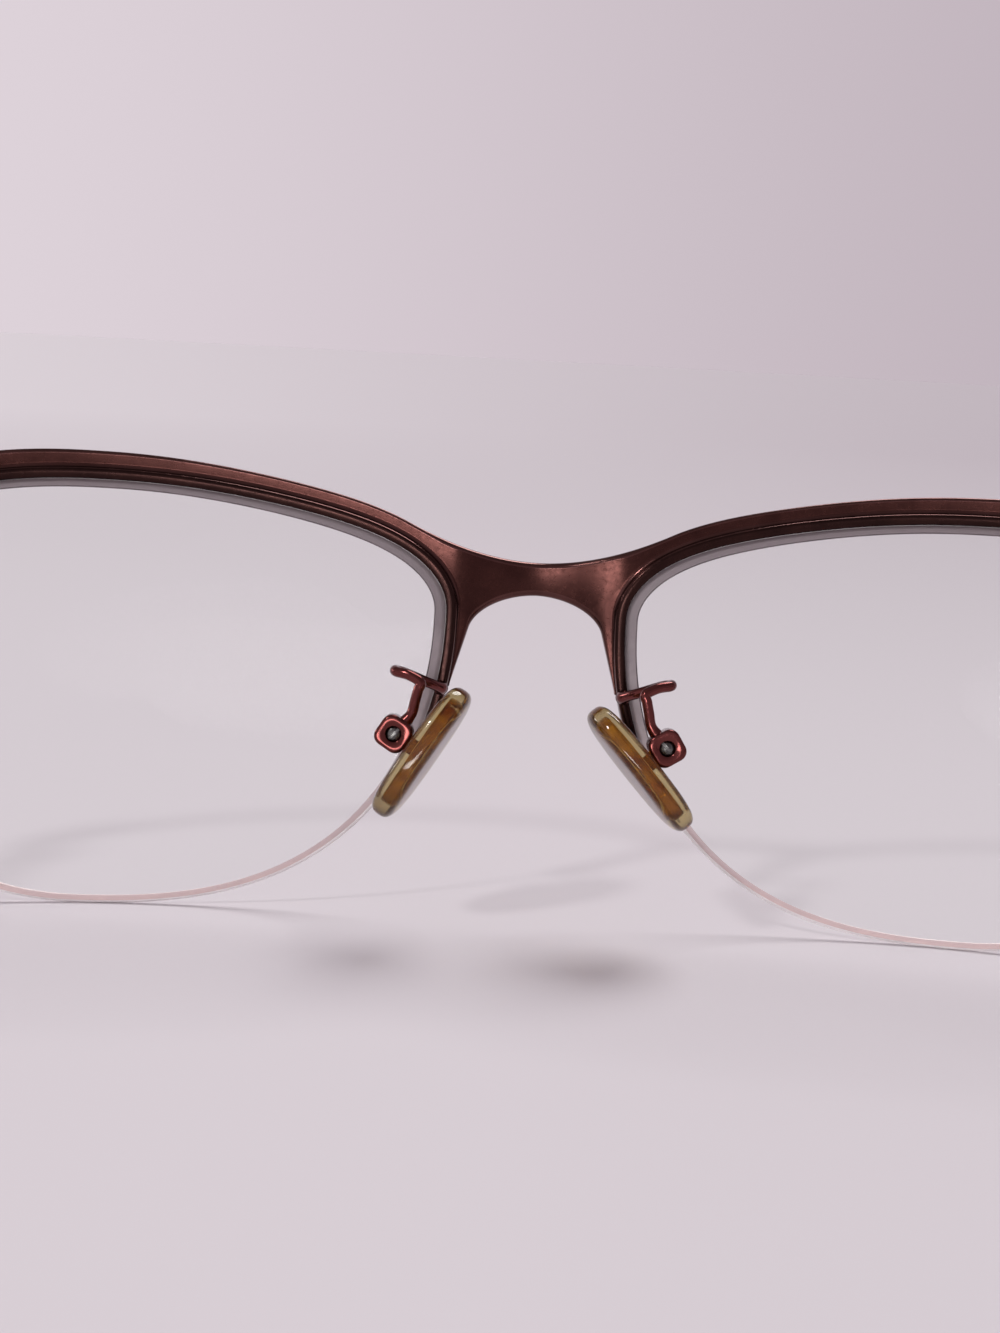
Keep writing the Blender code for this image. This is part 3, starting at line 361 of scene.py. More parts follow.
def loft(rings, closed=True):
    """Joins rings of equal count one after the other."""
    shape = bmesh.new()
    loops = [[shape.verts.new(p) for p in ring] for ring in rings]
    for first, second in zip(loops, loops[1:]):
        for i in range(len(first)):
            j = (i + 1) % len(first)
            shape.faces.new((first[i], first[j], second[j], second[i]))
    if closed:
        shape.faces.new(loops[0][::-1])
        shape.faces.new(loops[-1])
    shape.verts.ensure_lookup_table()
    shape.faces.ensure_lookup_table()
    return shape


def to_mesh(shape, sharp=35.0):
    bmesh.ops.remove_doubles(shape, verts=shape.verts, dist=1e-8)
    bmesh.ops.recalc_face_normals(shape, faces=shape.faces)
    mesh = bpy.data.meshes.new("mesh")
    shape.to_mesh(mesh)
    shape.free()
    mesh.shade_smooth()
    mesh.set_sharp_from_angle(angle=math.radians(sharp))
    return mesh


def turned(profile, sides):
    """A solid of revolution about Z, from a profile that starts and ends on the axis."""
    shape = bmesh.new()
    verts = [shape.verts.new((radius, 0, height)) for radius, height in profile]
    edges = [shape.edges.new(pair) for pair in zip(verts, verts[1:])]
    bmesh.ops.spin(
        shape, geom=verts + edges, steps=sides, use_merge=True,
        axis=(0, 0, 1), cent=(0, 0, 0), angle=math.tau,
    )
    bmesh.ops.remove_doubles(shape, verts=shape.verts, dist=1e-7)
    bmesh.ops.dissolve_degenerate(shape, edges=shape.edges, dist=1e-8)
    return to_mesh(shape)


def block(size, centre):
    shape = bmesh.new()
    bmesh.ops.create_cube(shape, size=1.0)
    bmesh.ops.scale(shape, vec=size, verts=shape.verts)
    bmesh.ops.translate(shape, vec=centre, verts=shape.verts)
    return to_mesh(shape)


def moved(mesh, matrix):
    mesh.transform(matrix)
    return mesh


def round_edges(body, width, segments, angle):
    rounding = body.modifiers.new("rounding", "BEVEL")
    rounding.width = width
    rounding.segments = segments
    rounding.limit_method = "ANGLE"
    rounding.angle_limit = math.radians(angle)


def bake(mesh, cutters=(), joined=(), bevel=0.0, segments=3, angle=35.0):
    """Applies unions, cuts and a rounded bevel to a mesh."""
    body = placed("blank", mesh)
    helpers = []
    for operation, meshes in (("UNION", joined), ("DIFFERENCE", cutters)):
        for other in meshes:
            helpers.append(placed("cutter", other))
            cut = body.modifiers.new("cut", "BOOLEAN")
            cut.operation = operation
            cut.object = helpers[-1]
    if bevel > 0:
        round_edges(body, bevel, segments, angle)
        body.modifiers.new("even", "WEIGHTED_NORMAL").keep_sharp = True
    graph = bpy.context.evaluated_depsgraph_get()
    graph.update()
    made = bpy.data.meshes.new_from_object(body.evaluated_get(graph))
    for spare in (body, *helpers):
        bpy.data.objects.remove(spare, do_unlink=True)
    return made


def tube(points, radii, sides):
    """A round tube through the points, with a radius at each."""
    rings = []
    normal = Vector((0.3, 0.2, 1.0))
    for i, point in enumerate(points):
        along = (points[min(i + 1, len(points) - 1)] - points[max(i - 1, 0)]).normalized()
        normal = (normal - along * normal.dot(along)).normalized()
        side = along.cross(normal)
        turns = [normal * c + side * s for c, s in map(cos_sin, full_turn(sides))]
        rings.append([point + turn * radii[i] for turn in turns])
    return to_mesh(loft(rings), 50)


def through(points, per_span):
    """A smooth Catmull-Rom curve through the points."""
    ends = [2 * points[0] - points[1], *points, 2 * points[-1] - points[-2]]
    found = []
    for a, b, c, d in zip(ends, ends[1:], ends[2:], ends[3:]):
        for i in range(per_span):
            x = i / per_span
            bend = (2 * a - 5 * b + 4 * c - d) * x * x + (3 * b - 3 * c + d - a) * x**3
            found.append(0.5 * (2 * b + (c - a) * x + bend))
    return found + [points[-1].copy()]


# Materials


def span(tree, value, low, high, to_low=0.0, to_high=1.0):
    """The value brought from low..high to to_low..to_high, and held there."""
    made = tree.nodes.new("ShaderNodeMapRange")
    ends = {"From Min": low, "From Max": high, "To Min": to_low, "To Max": to_high}
    for name, end in ends.items():
        made.inputs[name].default_value = end
    tree.links.new(value, made.inputs["Value"])
    return made.outputs["Result"]


def component(tree, vector, axis):
    apart = tree.nodes.new("ShaderNodeSeparateXYZ")
    tree.links.new(vector, apart.inputs["Vector"])
    return apart.outputs[axis]


class Finish:
    """A Principled material whose textures use the object's own coordinates, in metres."""

    def __init__(self, name, colour, roughness, metallic=0.0, transmission=0.0, ior=1.5):
        self.material = bpy.data.materials.new(name)
        self.material.use_nodes = True
        self.tree = self.material.node_tree
        self.shader = self.tree.nodes["Principled BSDF"]
        self.set("Base Color", (*colour, 1.0))
        self.set("Roughness", roughness)
        self.set("Metallic", metallic)
        self.set("Transmission Weight", transmission)
        self.set("IOR", ior)
        self.places = self.node("ShaderNodeTexCoord").outputs["Object"]

    def node(self, kind, **values):
        made = self.tree.nodes.new(kind)
        for name, value in values.items():
            setattr(made, name, value)
        return made

    def link(self, output, target):
        self.tree.links.new(output, target)

    def set(self, name, value):
        self.shader.inputs[name].default_value = value

    def noise(self, size, detail, stretch=(1, 1, 1)):
        """Noise whose lumps are about size metres across."""
        texture = self.node("ShaderNodeTexNoise")
        texture.inputs["Scale"].default_value = 1 / size
        texture.inputs["Detail"].default_value = detail
        mapping = self.node("ShaderNodeMapping")
        mapping.inputs["Scale"].default_value = stretch
        self.link(self.places, mapping.inputs["Vector"])
        self.link(mapping.outputs["Vector"], texture.inputs["Vector"])
        return texture.outputs["Fac"]

    def uneven(self, factor, size, detail, share):
        """The factor with this share of noise added."""
        added = self.node("ShaderNodeMath", operation="MULTIPLY_ADD")
        self.link(self.noise(size, detail), added.inputs[0])
        added.inputs[1].default_value = share
        self.link(factor, added.inputs[2])
        return added.outputs["Value"]

    def colours(self, factor, first, second, low=0.35, high=0.65, between=()):
        """From first at low to second at high; between holds (position, colour) pairs."""
        ramp = self.node("ShaderNodeValToRGB")
        stops = ramp.color_ramp.elements
        for stop, position, colour in zip(stops, (low, high), (first, second)):
            stop.position = position
            stop.color = (*colour, 1)
        for position, colour in between:
            stops.new(position).color = (*colour, 1)
        self.link(factor, ramp.inputs["Fac"])
        self.link(ramp.outputs["Color"], self.shader.inputs["Base Color"])

    def roughen(self, size, detail, low, high, stretch=(1, 1, 1)):
        """Roughness that varies from low to high in lumps of about this size."""
        varied = span(self.tree, self.noise(size, detail, stretch), 0.3, 0.7, low, high)
        self.link(varied, self.shader.inputs["Roughness"])

    def bump(self, size, detail, height, strength):
        lumps = self.node("ShaderNodeBump")
        lumps.inputs["Strength"].default_value = strength
        lumps.inputs["Distance"].default_value = height
        self.link(self.noise(size, detail), lumps.inputs["Height"])
        self.link(lumps.outputs["Normal"], self.shader.inputs["Normal"])


def brown_metal(name, first, second, rough, grain):
    finish = Finish(name, first, rough, metallic=0.92)
    finish.colours(finish.noise(0.004, 4), first, second)
    finish.roughen(0.0004, 5, rough - 0.05, rough + 0.07)
    finish.bump(0.00012, 3, grain, 0.25)
    return finish.material


def polished_lens():
    """Coated on both faces, so it reflects far less than bare plastic."""
    finish = Finish("lens_polished", (0.975, 0.985, 0.98), 0.0, transmission=1.0, ior=1.07)
    finish.roughen(0.003, 4, 0.0, 0.02)
    return finish.material


def frosted_edge():
    """Paler low down, where the pale cord fills the groove behind the ground surface, as painted
    light; darker towards the top as painted shade under the brow.
    """
    finish = Finish("lens_frosted", (0.34, 0.29, 0.30), 0.45, transmission=0.35)
    height = span(finish.tree, component(finish.tree, finish.places, "Z"), 0.003, 0.030)
    # painted light and shade: the pale colour low down stands for the cord seen through, the dark
    # one high up for the shade under the brow and eyewire
    low, middle, high = (0.74, 0.58, 0.56), (0.50, 0.43, 0.44), (0.20, 0.165, 0.172)
    mottled = finish.uneven(height, 0.0015, 4, 0.3)
    finish.colours(mottled, low, high, 0.1, 1.0, [(0.62, middle)])
    finish.bump(0.00006, 3, 4e-6, 0.3)
    return finish.material


def lens_line():
    """The polished bevel where the frosting ends, painted dark as painted shade for the light that
    it turns aside.
    """
    finish = Finish("lens_line", (0.10, 0.08, 0.085), 0.2, transmission=0.3)
    finish.colours(finish.noise(0.002, 3), (0.08, 0.065, 0.07), (0.13, 0.105, 0.11))
    return finish.material


def nylon():
    finish = Finish("nylon", (0.86, 0.84, 0.83), 0.3, transmission=0.3, ior=1.53)
    finish.colours(finish.noise(0.004, 3), (0.84, 0.80, 0.80), (0.93, 0.90, 0.90))
    finish.bump(0.0004, 3, 4e-6, 0.2)
    return finish.material


def silicone():
    """Clear but yellowed, with painted shade that deepens the colour where one looks along its
    skin.
    """
    finish = Finish("silicone", (0.66, 0.55, 0.33), 0.1, transmission=1.0, ior=1.41)
    finish.set("Specular IOR Level", 0.35)
    # painted shade: the colour deepens towards a grazing view, standing for the light lost in the
    # thicker silicone
    facing = finish.node("ShaderNodeLayerWeight")
    facing.inputs["Blend"].default_value = 0.45
    tint = finish.uneven(facing.outputs["Facing"], 0.003, 3, 0.35)
    finish.colours(tint, (0.58, 0.48, 0.24), (0.18, 0.12, 0.04), 0.15, 1.0)
    finish.roughen(0.0012, 4, 0.02, 0.07)
    finish.bump(0.0012, 3, 6e-6, 0.25)
    return finish.material


def amber():
    """The core lies in silicone, so it bends and reflects light far less than it would in air."""
    finish = Finish("amber_core", (0.5, 0.2, 0.03), 0.15, transmission=0.75, ior=1.3)
    finish.colours(finish.noise(0.0022, 5), (0.34, 0.09, 0.003), (0.92, 0.48, 0.03), 0.38, 0.66)
    finish.roughen(0.001, 3, 0.08, 0.16)
    finish.bump(0.0009, 3, 1e-5, 0.3)
    return finish.material


def amber_rim_painted_highlight():
    """The polished edge of the core, painted a paler gold as a painted highlight, for the gold
    lines where it gathers the light.
    """
    finish = Finish("amber_rim_painted_highlight", (0.86, 0.58, 0.20), 0.12, transmission=0.3)
    finish.colours(finish.noise(0.0007, 4), (0.55, 0.27, 0.05), (0.95, 0.72, 0.34))
    return finish.material


def screw_steel():
    finish = Finish("screw_steel", (0.13, 0.125, 0.12), 0.22, metallic=1.0)
    finish.colours(finish.noise(0.0004, 4), (0.095, 0.09, 0.085), (0.17, 0.165, 0.16))
    finish.roughen(0.00015, 4, 0.2, 0.42, (1, 6, 1))
    finish.bump(0.0001, 3, 4e-6, 0.5)
    return finish.material


def tip_plastic():
    finish = Finish("tip_acetate", (0.06, 0.02, 0.015), 0.2, ior=1.49)
    finish.set("Coat Weight", 0.6)
    finish.set("Coat Roughness", 0.08)
    mottled = finish.noise(0.006, 4, (1.6, 0.6, 1.6))
    finish.colours(mottled, (0.030, 0.010, 0.008), (0.115, 0.042, 0.022), 0.4, 0.7)
    finish.roughen(0.002, 3, 0.14, 0.24)
    finish.bump(0.0008, 2, 8e-6, 0.3)
    return finish.material


METAL = brown_metal("brown_satin", (0.037, 0.0125, 0.0105), (0.058, 0.0205, 0.017), 0.23, 4e-6)
# The eyewire's finish: the plate's brown painted darker, as painted shade on its face
PAINTED_SHADE_RIM_METAL = brown_metal("brown_rim_painted_shade", (0.020, 0.008, 0.007), (0.031, 0.0125, 0.0105), 0.22, 3e-6)
# The edges' finish: glossier, and painted brighter than the plate as a painted highlight along
# rounded edges, the fillet and the eyewire's shoulder
PAINTED_HIGHLIGHT_METAL = brown_metal("brown_edge_painted_highlight", (0.070, 0.029, 0.025), (0.105, 0.045, 0.040), 0.16, 2e-6)
GLOSS = brown_metal("brown_gloss", (0.108, 0.028, 0.025), (0.146, 0.041, 0.037), 0.12, 2e-6)
LENS = polished_lens()
FROST = frosted_edge()
LENS_LINE = lens_line()
NYLON = nylon()
SILICONE = silicone()
AMBER = amber()
AMBER_RIM_PAINTED_HIGHLIGHT = amber_rim_painted_highlight()
STEEL = screw_steel()
ACETATE = tip_plastic()


def add(name, mesh, finishes, node, body, place=Matrix()):
    """The piece on both sides, from the right side's mesh. place may be found from the side, and
    node and body may hold {side}."""
    for side, mirror in SIDES:
        matrix = place(side) if callable(place) else place
        whole = STAND @ Matrix.Diagonal((mirror, 1, 1, 1)) @ matrix
        copy = mesh.copy()
        copy.transform(whole)
        if mirror < 0:
            copy.flip_normals()
        piece = placed(f"{name}_{side}", copy)
        for finish in finishes:
            copy.materials.append(finish)
        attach(piece, body.format(side=side))
        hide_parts(node.format(side=side))
        if LENS in finishes:  # clear plastic takes no light from the floor
            piece.visible_shadow = piece.visible_diffuse = False


# Lens, eyewire and cord


def lens_mesh(count=240):
    """The lens with its groove. Its ground edge, the frosted chamfer behind it and the fine line
    where that ends have their own finishes."""
    angles = full_turn(count)
    middle = Vector((LENS_OUT, 0.0))

    def ring(share, inset, back):
        flat = [middle + (edge_offset(a, -inset) - middle) * share for a in angles]
        return [front_point(spot, back) for spot in flat]

    half = LENS_EDGE / 2

    def face(share, side):
        return ring(share, 0, side * mix(LENS_CENTRE, LENS_EDGE, share**2) / 2)

    def low(angle):
        """1 along the bottom of the lens, 0 above its middle."""
        return smooth((-math.sin(angle) - LOW_START) / LOW_BLEND)

    def frosted_ring(extra, back):
        found = []
        for a in angles:
            high = max(math.sin(a), 0.0) ** 2
            width = LENS_FROSTING * mix(1.0, FROSTING_LOW, low(a)) * mix(1.0, FROSTING_HIGH, high)
            found.append(front_point(edge_offset(a, -width - extra), back))
        return found

    slope = half - FROSTING_SLOPE
    rings = [face(share, -1) for share in (0.02, 0.2, 0.4, 0.6, 0.8, 0.985)]
    frosted_from = len(rings)
    rings += [
        ring(1, LENS_BEVEL, -half),
        ring(1, 0, -half + LENS_BEVEL),
        ring(1, 0, -GROOVE_HALF),
        ring(1, GROOVE_DEPTH, -GROOVE_HALF * GROOVE_FLOOR),
        ring(1, GROOVE_DEPTH, GROOVE_HALF * GROOVE_FLOOR),
        ring(1, 0, GROOVE_HALF),
        ring(1, 0, slope),
        frosted_ring(0.0, half),
    ]
    frosted_to = len(rings) - 1
    rings += [frosted_ring(LINE_WIDTH, half - LINE_DROP)]
    rings += [face(share, 1) for share in (0.93, 0.8, 0.6, 0.4, 0.2, 0.02)]
    shape = loft(rings)
    for i, facet in enumerate(shape.faces):
        between = i // count
        if frosted_from <= between < frosted_to:
            facet.material_index = 1
        # the fine line takes the finish painted dark as shade, except along the bottom
        elif between == frosted_to and low(angles[i % count]) < 0.3:
            facet.material_index = 2
    return to_mesh(shape, 20)


def rounded(corners, segments=4):
    """An outline with round corners, from corners as (x, y, radius)."""
    outline = []
    befores, afters = corners[-1:] + corners, corners[1:] + corners[:1]
    for before, (x, y, radius), after in zip(befores, corners, afters):
        here = Vector((x, y))
        if radius <= 0:
            outline.append(here)
            continue
        to_before = (Vector(before[:2]) - here).normalized()
        to_after = (Vector(after[:2]) - here).normalized()
        a, c = here + to_before * radius, here + to_after * radius
        for t in steps(0, 1, segments):
            outline.append(a * (1 - t) ** 2 + here * 2 * t * (1 - t) + c * t * t)
    return outline


def eyewire_mesh(count=200):
    """The eyewire with its channel, its brown painted darker as shade; the shoulder's middle strips
    are its polished edge, painted brighter as a highlight.
    """
    front_face = -RIM_HALF + SKIN / 8
    section = rounded([
        (0.0, front_face, 0.0),
        (0.0, -CHANNEL_HALF, 0.0),
        (CHANNEL_DEPTH, -CHANNEL_HALF, 0.0),
        (CHANNEL_DEPTH, CHANNEL_HALF, 0.0),
        (0.0, CHANNEL_HALF, 0.0),
        (0.0, RIM_HALF, RIM_INNER_ROUND),
        (RIM_HEIGHT, RIM_HALF, RIM_SHOULDER),
        (RIM_HEIGHT, front_face, 0.0),
    ])
    rings = []
    for angle in steps(RIM_TEMPLE_END, RIM_NOSE_END, count):
        rings.append([front_point(edge_offset(angle, LENS_GAP + n), w) for n, w in section])
    shape = loft(rings)
    shoulder = len(section) - 4
    for i in range(len(section) * count):
        # the shoulder's middle strips take the edge finish, a painted highlight
        shape.faces[i].material_index = int(i % len(section) in (shoulder, shoulder + 1))
    return to_mesh(shape, 40)


def cord_mesh(count=170):
    low = RIM_NOSE_END - CORD_TUCK
    high = RIM_TEMPLE_END + math.tau + CORD_TUCK
    points = [front_point(edge_offset(a, CORD_OUTWARD), 0.0) for a in steps(low, high, count)]
    return tube(points, [CORD_RADIUS - SKIN / 3] * len(points), sides=16)


# Brow and bridge


def plate_inner():
    """The plate's edge, let into the eyewire's solder so that no light passes between them."""
    return LENS_GAP + RIM_HEIGHT - SOLDER_DEPTH


def brow_height(angle):
    outwards = smooth((BROW_WIDENS - angle) / (BROW_WIDENS - BROW_WIDE))
    rise = smooth((angle - RIM_TEMPLE_END) / (ENDPIECE_LOW - RIM_TEMPLE_END))
    return mix(BROW_END_HEIGHT, mix(BROW_HEIGHT, BROW_OUTER_HEIGHT, outwards), rise)


def fillet_edge(angle):
    left = smooth((LEG_END - angle) / (LEG_END - BRIDGE_CORNER))
    return plate_inner() + FILLET_WIDTH * mix(FILLET_END_WIDTH, 1.0, left)


def arch_point(angle):
    c, s = cos_sin(angle)
    rise = (ARCH_TOP - ARCH_SPRING) * bent(s, ARCH_POWER)
    return Vector((ARCH_HALF_WIDTH * bent(c, ARCH_POWER), ARCH_SPRING + rise))


def bridge_top_point(x):
    start = edge_offset(BROW_JOIN, BROW_HEIGHT)
    before = edge_offset(BROW_JOIN - 0.02, BROW_HEIGHT)
    slope = (start.y - before.y) / (start.x - before.x)
    share = 1 - x
    rise = start.y - BRIDGE_TOP
    run = slope * start.x
    up = BRIDGE_TOP + (3 * rise - run) * share**2 + (run - 2 * rise) * share**3
    return Vector((start.x * share, up))


def leg_tip():
    return edge_offset(LEG_END, fillet_edge(LEG_END) + LEG_TIP)


def leg_start():
    """The angle of the arch at which the leg's straight edge leaves it without a corner."""
    low, high = 0.0, ARCH_START
    for _ in range(30):
        angle = (low + high) / 2
        along = arch_point(angle) - arch_point(angle + 0.001)
        if along.cross(leg_tip() - arch_point(angle)) > 0:
            low = angle
        else:
            high = angle
    return low


def leg_edge(x):
    turn = 0.35
    leaving = leg_start()
    if x < turn:
        return arch_point(mix(ARCH_START, leaving, x / turn))
    return arch_point(leaving).lerp(leg_tip(), (x - turn) / (1 - turn))


def pull(edge_point, partner):
    """How far the faces stay back from a free edge, to leave room for its rounding."""
    across = partner - edge_point
    return across.normalized() * min(PLATE_EDGE, across.length / 3)


def front_layout(across=5, fillet_rows=6):
    """The right half of the plate, laid flat: places, quads, rounded edges and raised backs."""
    open_brow = steps(RIM_TEMPLE_END, BROW_JOIN, 150)
    brow = open_brow + steps(BROW_JOIN, BRIDGE_CORNER, 14)[1:]
    corner = edge_offset(BRIDGE_CORNER, fillet_edge(BRIDGE_CORNER))
    arch_start = arch_point(ARCH_START)
    lower = [edge_offset(angle, fillet_edge(angle)) for angle in brow]
    lower += [corner.lerp(arch_start, i / across) for i in range(1, across + 1)]
    at_arch = len(lower) - 1
    lower += [arch_point(angle) for angle in steps(ARCH_START, math.pi / 2, 26)[1:]]
    lower[-1].x = 0.0
    upper = [edge_offset(angle, brow_height(angle)) for angle in open_brow]
    rest = len(lower) - len(upper)
    upper += [bridge_top_point((i + 1) / rest) for i in range(rest)]

    places, quads, chamfers, lifts = {}, [], {}, {}
    for i, (low, high) in enumerate(zip(lower, upper)):
        places["low", i], places["high", i] = low, high
        chamfers["high", i] = pull(high, low)
        if i > at_arch:
            chamfers["low", i] = pull(low, high)
    chamfers["low", at_arch] = pull(arch_start, corner)
    for i in range(len(lower) - 1):
        quads.append([("low", i), ("low", i + 1), ("high", i + 1), ("high", i)])

    leg = steps(BRIDGE_CORNER, LEG_END, 40)
    for k, angle in enumerate(leg[1:], 1):
        inner = edge_offset(angle, fillet_edge(angle))
        outer = leg_edge(k / (len(leg) - 1))
        kept = outer + pull(outer, inner) * 0.99
        for j in range(across):
            places["leg", k, j] = inner.lerp(kept, j / across)
        places["leg", k, across] = outer
        chamfers["leg", k, across] = pull(outer, inner)

    def leg_key(k, j):
        return ("leg", k, j) if k else ("low", len(brow) - 1 + j)

    for k in range(len(leg) - 1):
        for j in range(across):
            corners = ((k + 1, j), (k + 1, j + 1), (k, j + 1), (k, j))
            quads.append([leg_key(*corner) for corner in corners])

    beside = [("low", i) for i in range(len(brow))] + [("leg", k, 0) for k in range(1, len(leg))]
    for i, angle in enumerate(brow + leg[1:]):
        rise = FILLET_RISE * mix(FILLET_END_RISE, 1.0, smooth((LEG_END - angle) / 0.3))
        for row in range(fillet_rows):
            share = row / fillet_rows
            offset = mix(plate_inner(), fillet_edge(angle), share)
            places["rim", i, row] = edge_offset(angle, offset)
            lifts["rim", i, row] = rise * (1 - math.sqrt(1 - (1 - share) ** 2))
    for i in range(len(beside) - 1):
        for row in range(1, fillet_rows + 1):
            near = [("rim", i + n, row) if row < fillet_rows else beside[i + n] for n in (1, 0)]
            quads.append([("rim", i, row - 1), ("rim", i + 1, row - 1), *near])
    middle = (("high", len(lower) - 1), ("low", len(lower) - 1))
    return places, quads, chamfers, lifts, middle


def front_mesh(rounds=6):
    """The whole plate: both halves share the middle's points."""
    places, quads, chamfers, lifts, middle = front_layout()
    shape = bmesh.new()
    made = {}
    last = 2 * rounds + 1

    def level(key, at, side):
        """at 0 and last are the front and back faces, those between run round the free edge."""
        if places[key].x == 0.0:
            side = 1
        if (key, at, side) not in made:
            chamfer = chamfers.get(key, Vector((0, 0)))
            thick = PLATE_THICKNESS + lifts.get(key, 0.0)
            turn = math.pi / 2 * min(at, last - at) / rounds
            flat = places[key] + chamfer * (1 - math.sin(turn))
            inset = chamfer.length * (1 - math.cos(turn))
            back = inset if at <= rounds else thick - inset
            point = front_point(flat, back - RIM_HALF)
            point.x *= side
            made[key, at, side] = shape.verts.new(point)
        return made[key, at, side]

    uses = {}
    for quad in quads:
        for side in (1, -1):
            shape.faces.new([level(key, 0, side) for key in quad])
            back = shape.faces.new([level(key, last, side) for key in quad])
            raised = any(lifts.get(key, 0.0) > 0.1 * FILLET_RISE for key in quad)
            # the raised fillet faces take the edge finish, a painted highlight
            back.material_index = int(raised)
        for pair in zip(quad, quad[1:] + quad[:1]):
            pair = tuple(sorted(pair))
            uses[pair] = uses.get(pair, 0) + 1
    for pair, count in uses.items():
        if count > 1 or pair == middle:
            continue
        for side in (1, -1):
            runs = []
            for key in pair:
                levels = range(last + 1) if key in chamfers else (0, last)
                runs.append([level(key, at, side) for at in levels])
            a, b = runs
            if len(a) == len(b):
                for i in range(len(a) - 1):
                    edge = shape.faces.new((a[i], b[i], b[i + 1], a[i + 1]))
                    # every strip but the flat side takes the edge finish, a painted highlight
                    edge.material_index = int(i != rounds)
            else:
                shape.faces.new(a + b[::-1])
    return to_mesh(shape, 40)


# End piece, hinge and temple


def conic(a, b, c, weight, x):
    """A bend from a to c that leans towards the corner b as the weight grows."""
    p, q, r = (1 - x) ** 2, 2 * x * (1 - x) * weight, x * x
    return (a * p + b * q + c * r) / (p + q + r)


def endpiece_mesh(spans=40, rows=10):
    faces = []
    for back, wall in ((-RIM_HALF, 0.0), (PLATE_THICKNESS - RIM_HALF, ENDPIECE_THICKNESS)):
        grid = []
        for share in steps(0, 1, rows):
            angle = mix(ENDPIECE_LOW, ENDPIECE_HIGH, share)
            root = front_point(edge_offset(angle, brow_height(angle) + SOLDER_GAP), back)
            beyond = front_point(edge_offset(angle, brow_height(angle) + 0.001), back)
            direction = (beyond - root).normalized()
            corner = root + direction * ((FRONT_HALF_WIDTH - wall - root.x) / direction.x)
            height = HINGE_RISE + TEMPLE_HEIGHT * (share - 0.5)
            end = Vector((FRONT_HALF_WIDTH - wall, LEAF_LENGTH - HINGE_BACK, height))
            corner.z = mix(corner.z, end.z, ENDPIECE_LEVEL)
            bend = [conic(root, corner, end, ENDPIECE_CORNER, x) for x in steps(0, 1, spans)]
            grid.append(bend + [Vector((end.x, JOINT_GAP - HINGE_BACK, end.z))])
        faces.append(grid)
    rings = []
    for i in range(spans + 2):
        rings.append([row[i] for row in faces[0]] + [row[i] for row in reversed(faces[1])])
    shape = loft(rings, closed=False)
    size = len(rings[0])
    for start in (0, (len(rings) - 1) * size):
        loop = [shape.verts[start + i] for i in range(size)]
        for i in range(size // 2 - 1):
            shape.faces.new((loop[i], loop[i + 1], loop[size - 2 - i], loop[size - 1 - i]))
    return bake(to_mesh(shape), bevel=ENDPIECE_ROUND, angle=50)


def temple_line(s):
    """Middle of the temple s metres behind the hinge axis, from that axis, and its dip there."""
    out = FRONT_HALF_WIDTH - HINGE_OUT - TEMPLE_THICKNESS / 2
    inward = TIP_INWARD * max(0.0, (s - EAR_BEND_START) / (TEMPLE_LENGTH - EAR_BEND_START)) ** 2
    arc = EAR_BEND_RADIUS * EAR_BEND
    dip = EAR_BEND * min(max((s - EAR_BEND_START) / arc, 0.0), 1.0)
    straight = max(s - EAR_BEND_START - arc, 0.0)
    level, fall = cos_sin(dip)
    back = min(s, EAR_BEND_START) + EAR_BEND_RADIUS * fall + straight * level
    down = EAR_BEND_RADIUS * (1 - level) + straight * fall
    return Vector((out - inward, -back, -down)), dip


def temple_ring(s, section):
    centre, dip = temple_line(s)
    level, fall = cos_sin(dip)
    up = Vector((0, -fall, level))
    return [centre + Vector((x, 0, 0)) + up * z for x, z in section]


def bar(thickness, height, edge):
    x, z = thickness / 2, height / 2
    return rounded([(x, -z, edge), (x, z, edge), (-x, z, edge), (-x, -z, edge)])


def oval(width, height, count, power):
    turns = [cos_sin(a) for a in full_turn(count)]
    return [(bent(c, power) * width / 2, bent(s, power) * height / 2) for c, s in turns]


def temple_mesh():
    """The blade. The core wire inside the tip can't be seen, so it ends just inside."""
    end = TEMPLE_END_ROUND
    rings = [temple_ring(JOINT_GAP, bar(TEMPLE_THICKNESS - end, TEMPLE_HEIGHT - end, end))]
    for s in steps(JOINT_GAP + end / 2, TIP_START, 60):
        height = mix(TEMPLE_HEIGHT, TEMPLE_NECK_HEIGHT, smooth(s / TIP_START))
        rings.append(temple_ring(s, bar(TEMPLE_THICKNESS, height, TEMPLE_ROUND)))
    rings.append(temple_ring(TIP_START + WIRE_SHOWN, bar(*WIRE_SIZE, end)))
    return to_mesh(loft(rings), 50)


def tip_size(s):
    swell = smooth((s - TIP_FRONT) / (TEMPLE_LENGTH * 0.9 - TIP_FRONT))
    height = mix(TIP_HEIGHT_START, TIP_HEIGHT, swell)
    thickness = mix(TIP_THICKNESS * TIP_THIN, TIP_THICKNESS, swell)
    left = max(TEMPLE_LENGTH - s, 0.0)
    radius = TIP_HEIGHT / 2
    if left < radius:
        round_off = math.sqrt(max(1 - (1 - left / radius) ** 2, 0.0004))
        height *= round_off
        thickness *= mix(round_off, 1.0, 0.35)
    entry = min((s - TIP_FRONT) / TIP_LIP, 1.0)
    lip = mix(TIP_LIP_SIZE, 1.0, math.sqrt(1 - (1 - entry) ** 2))
    return thickness * lip - SKIN, height * lip - SKIN


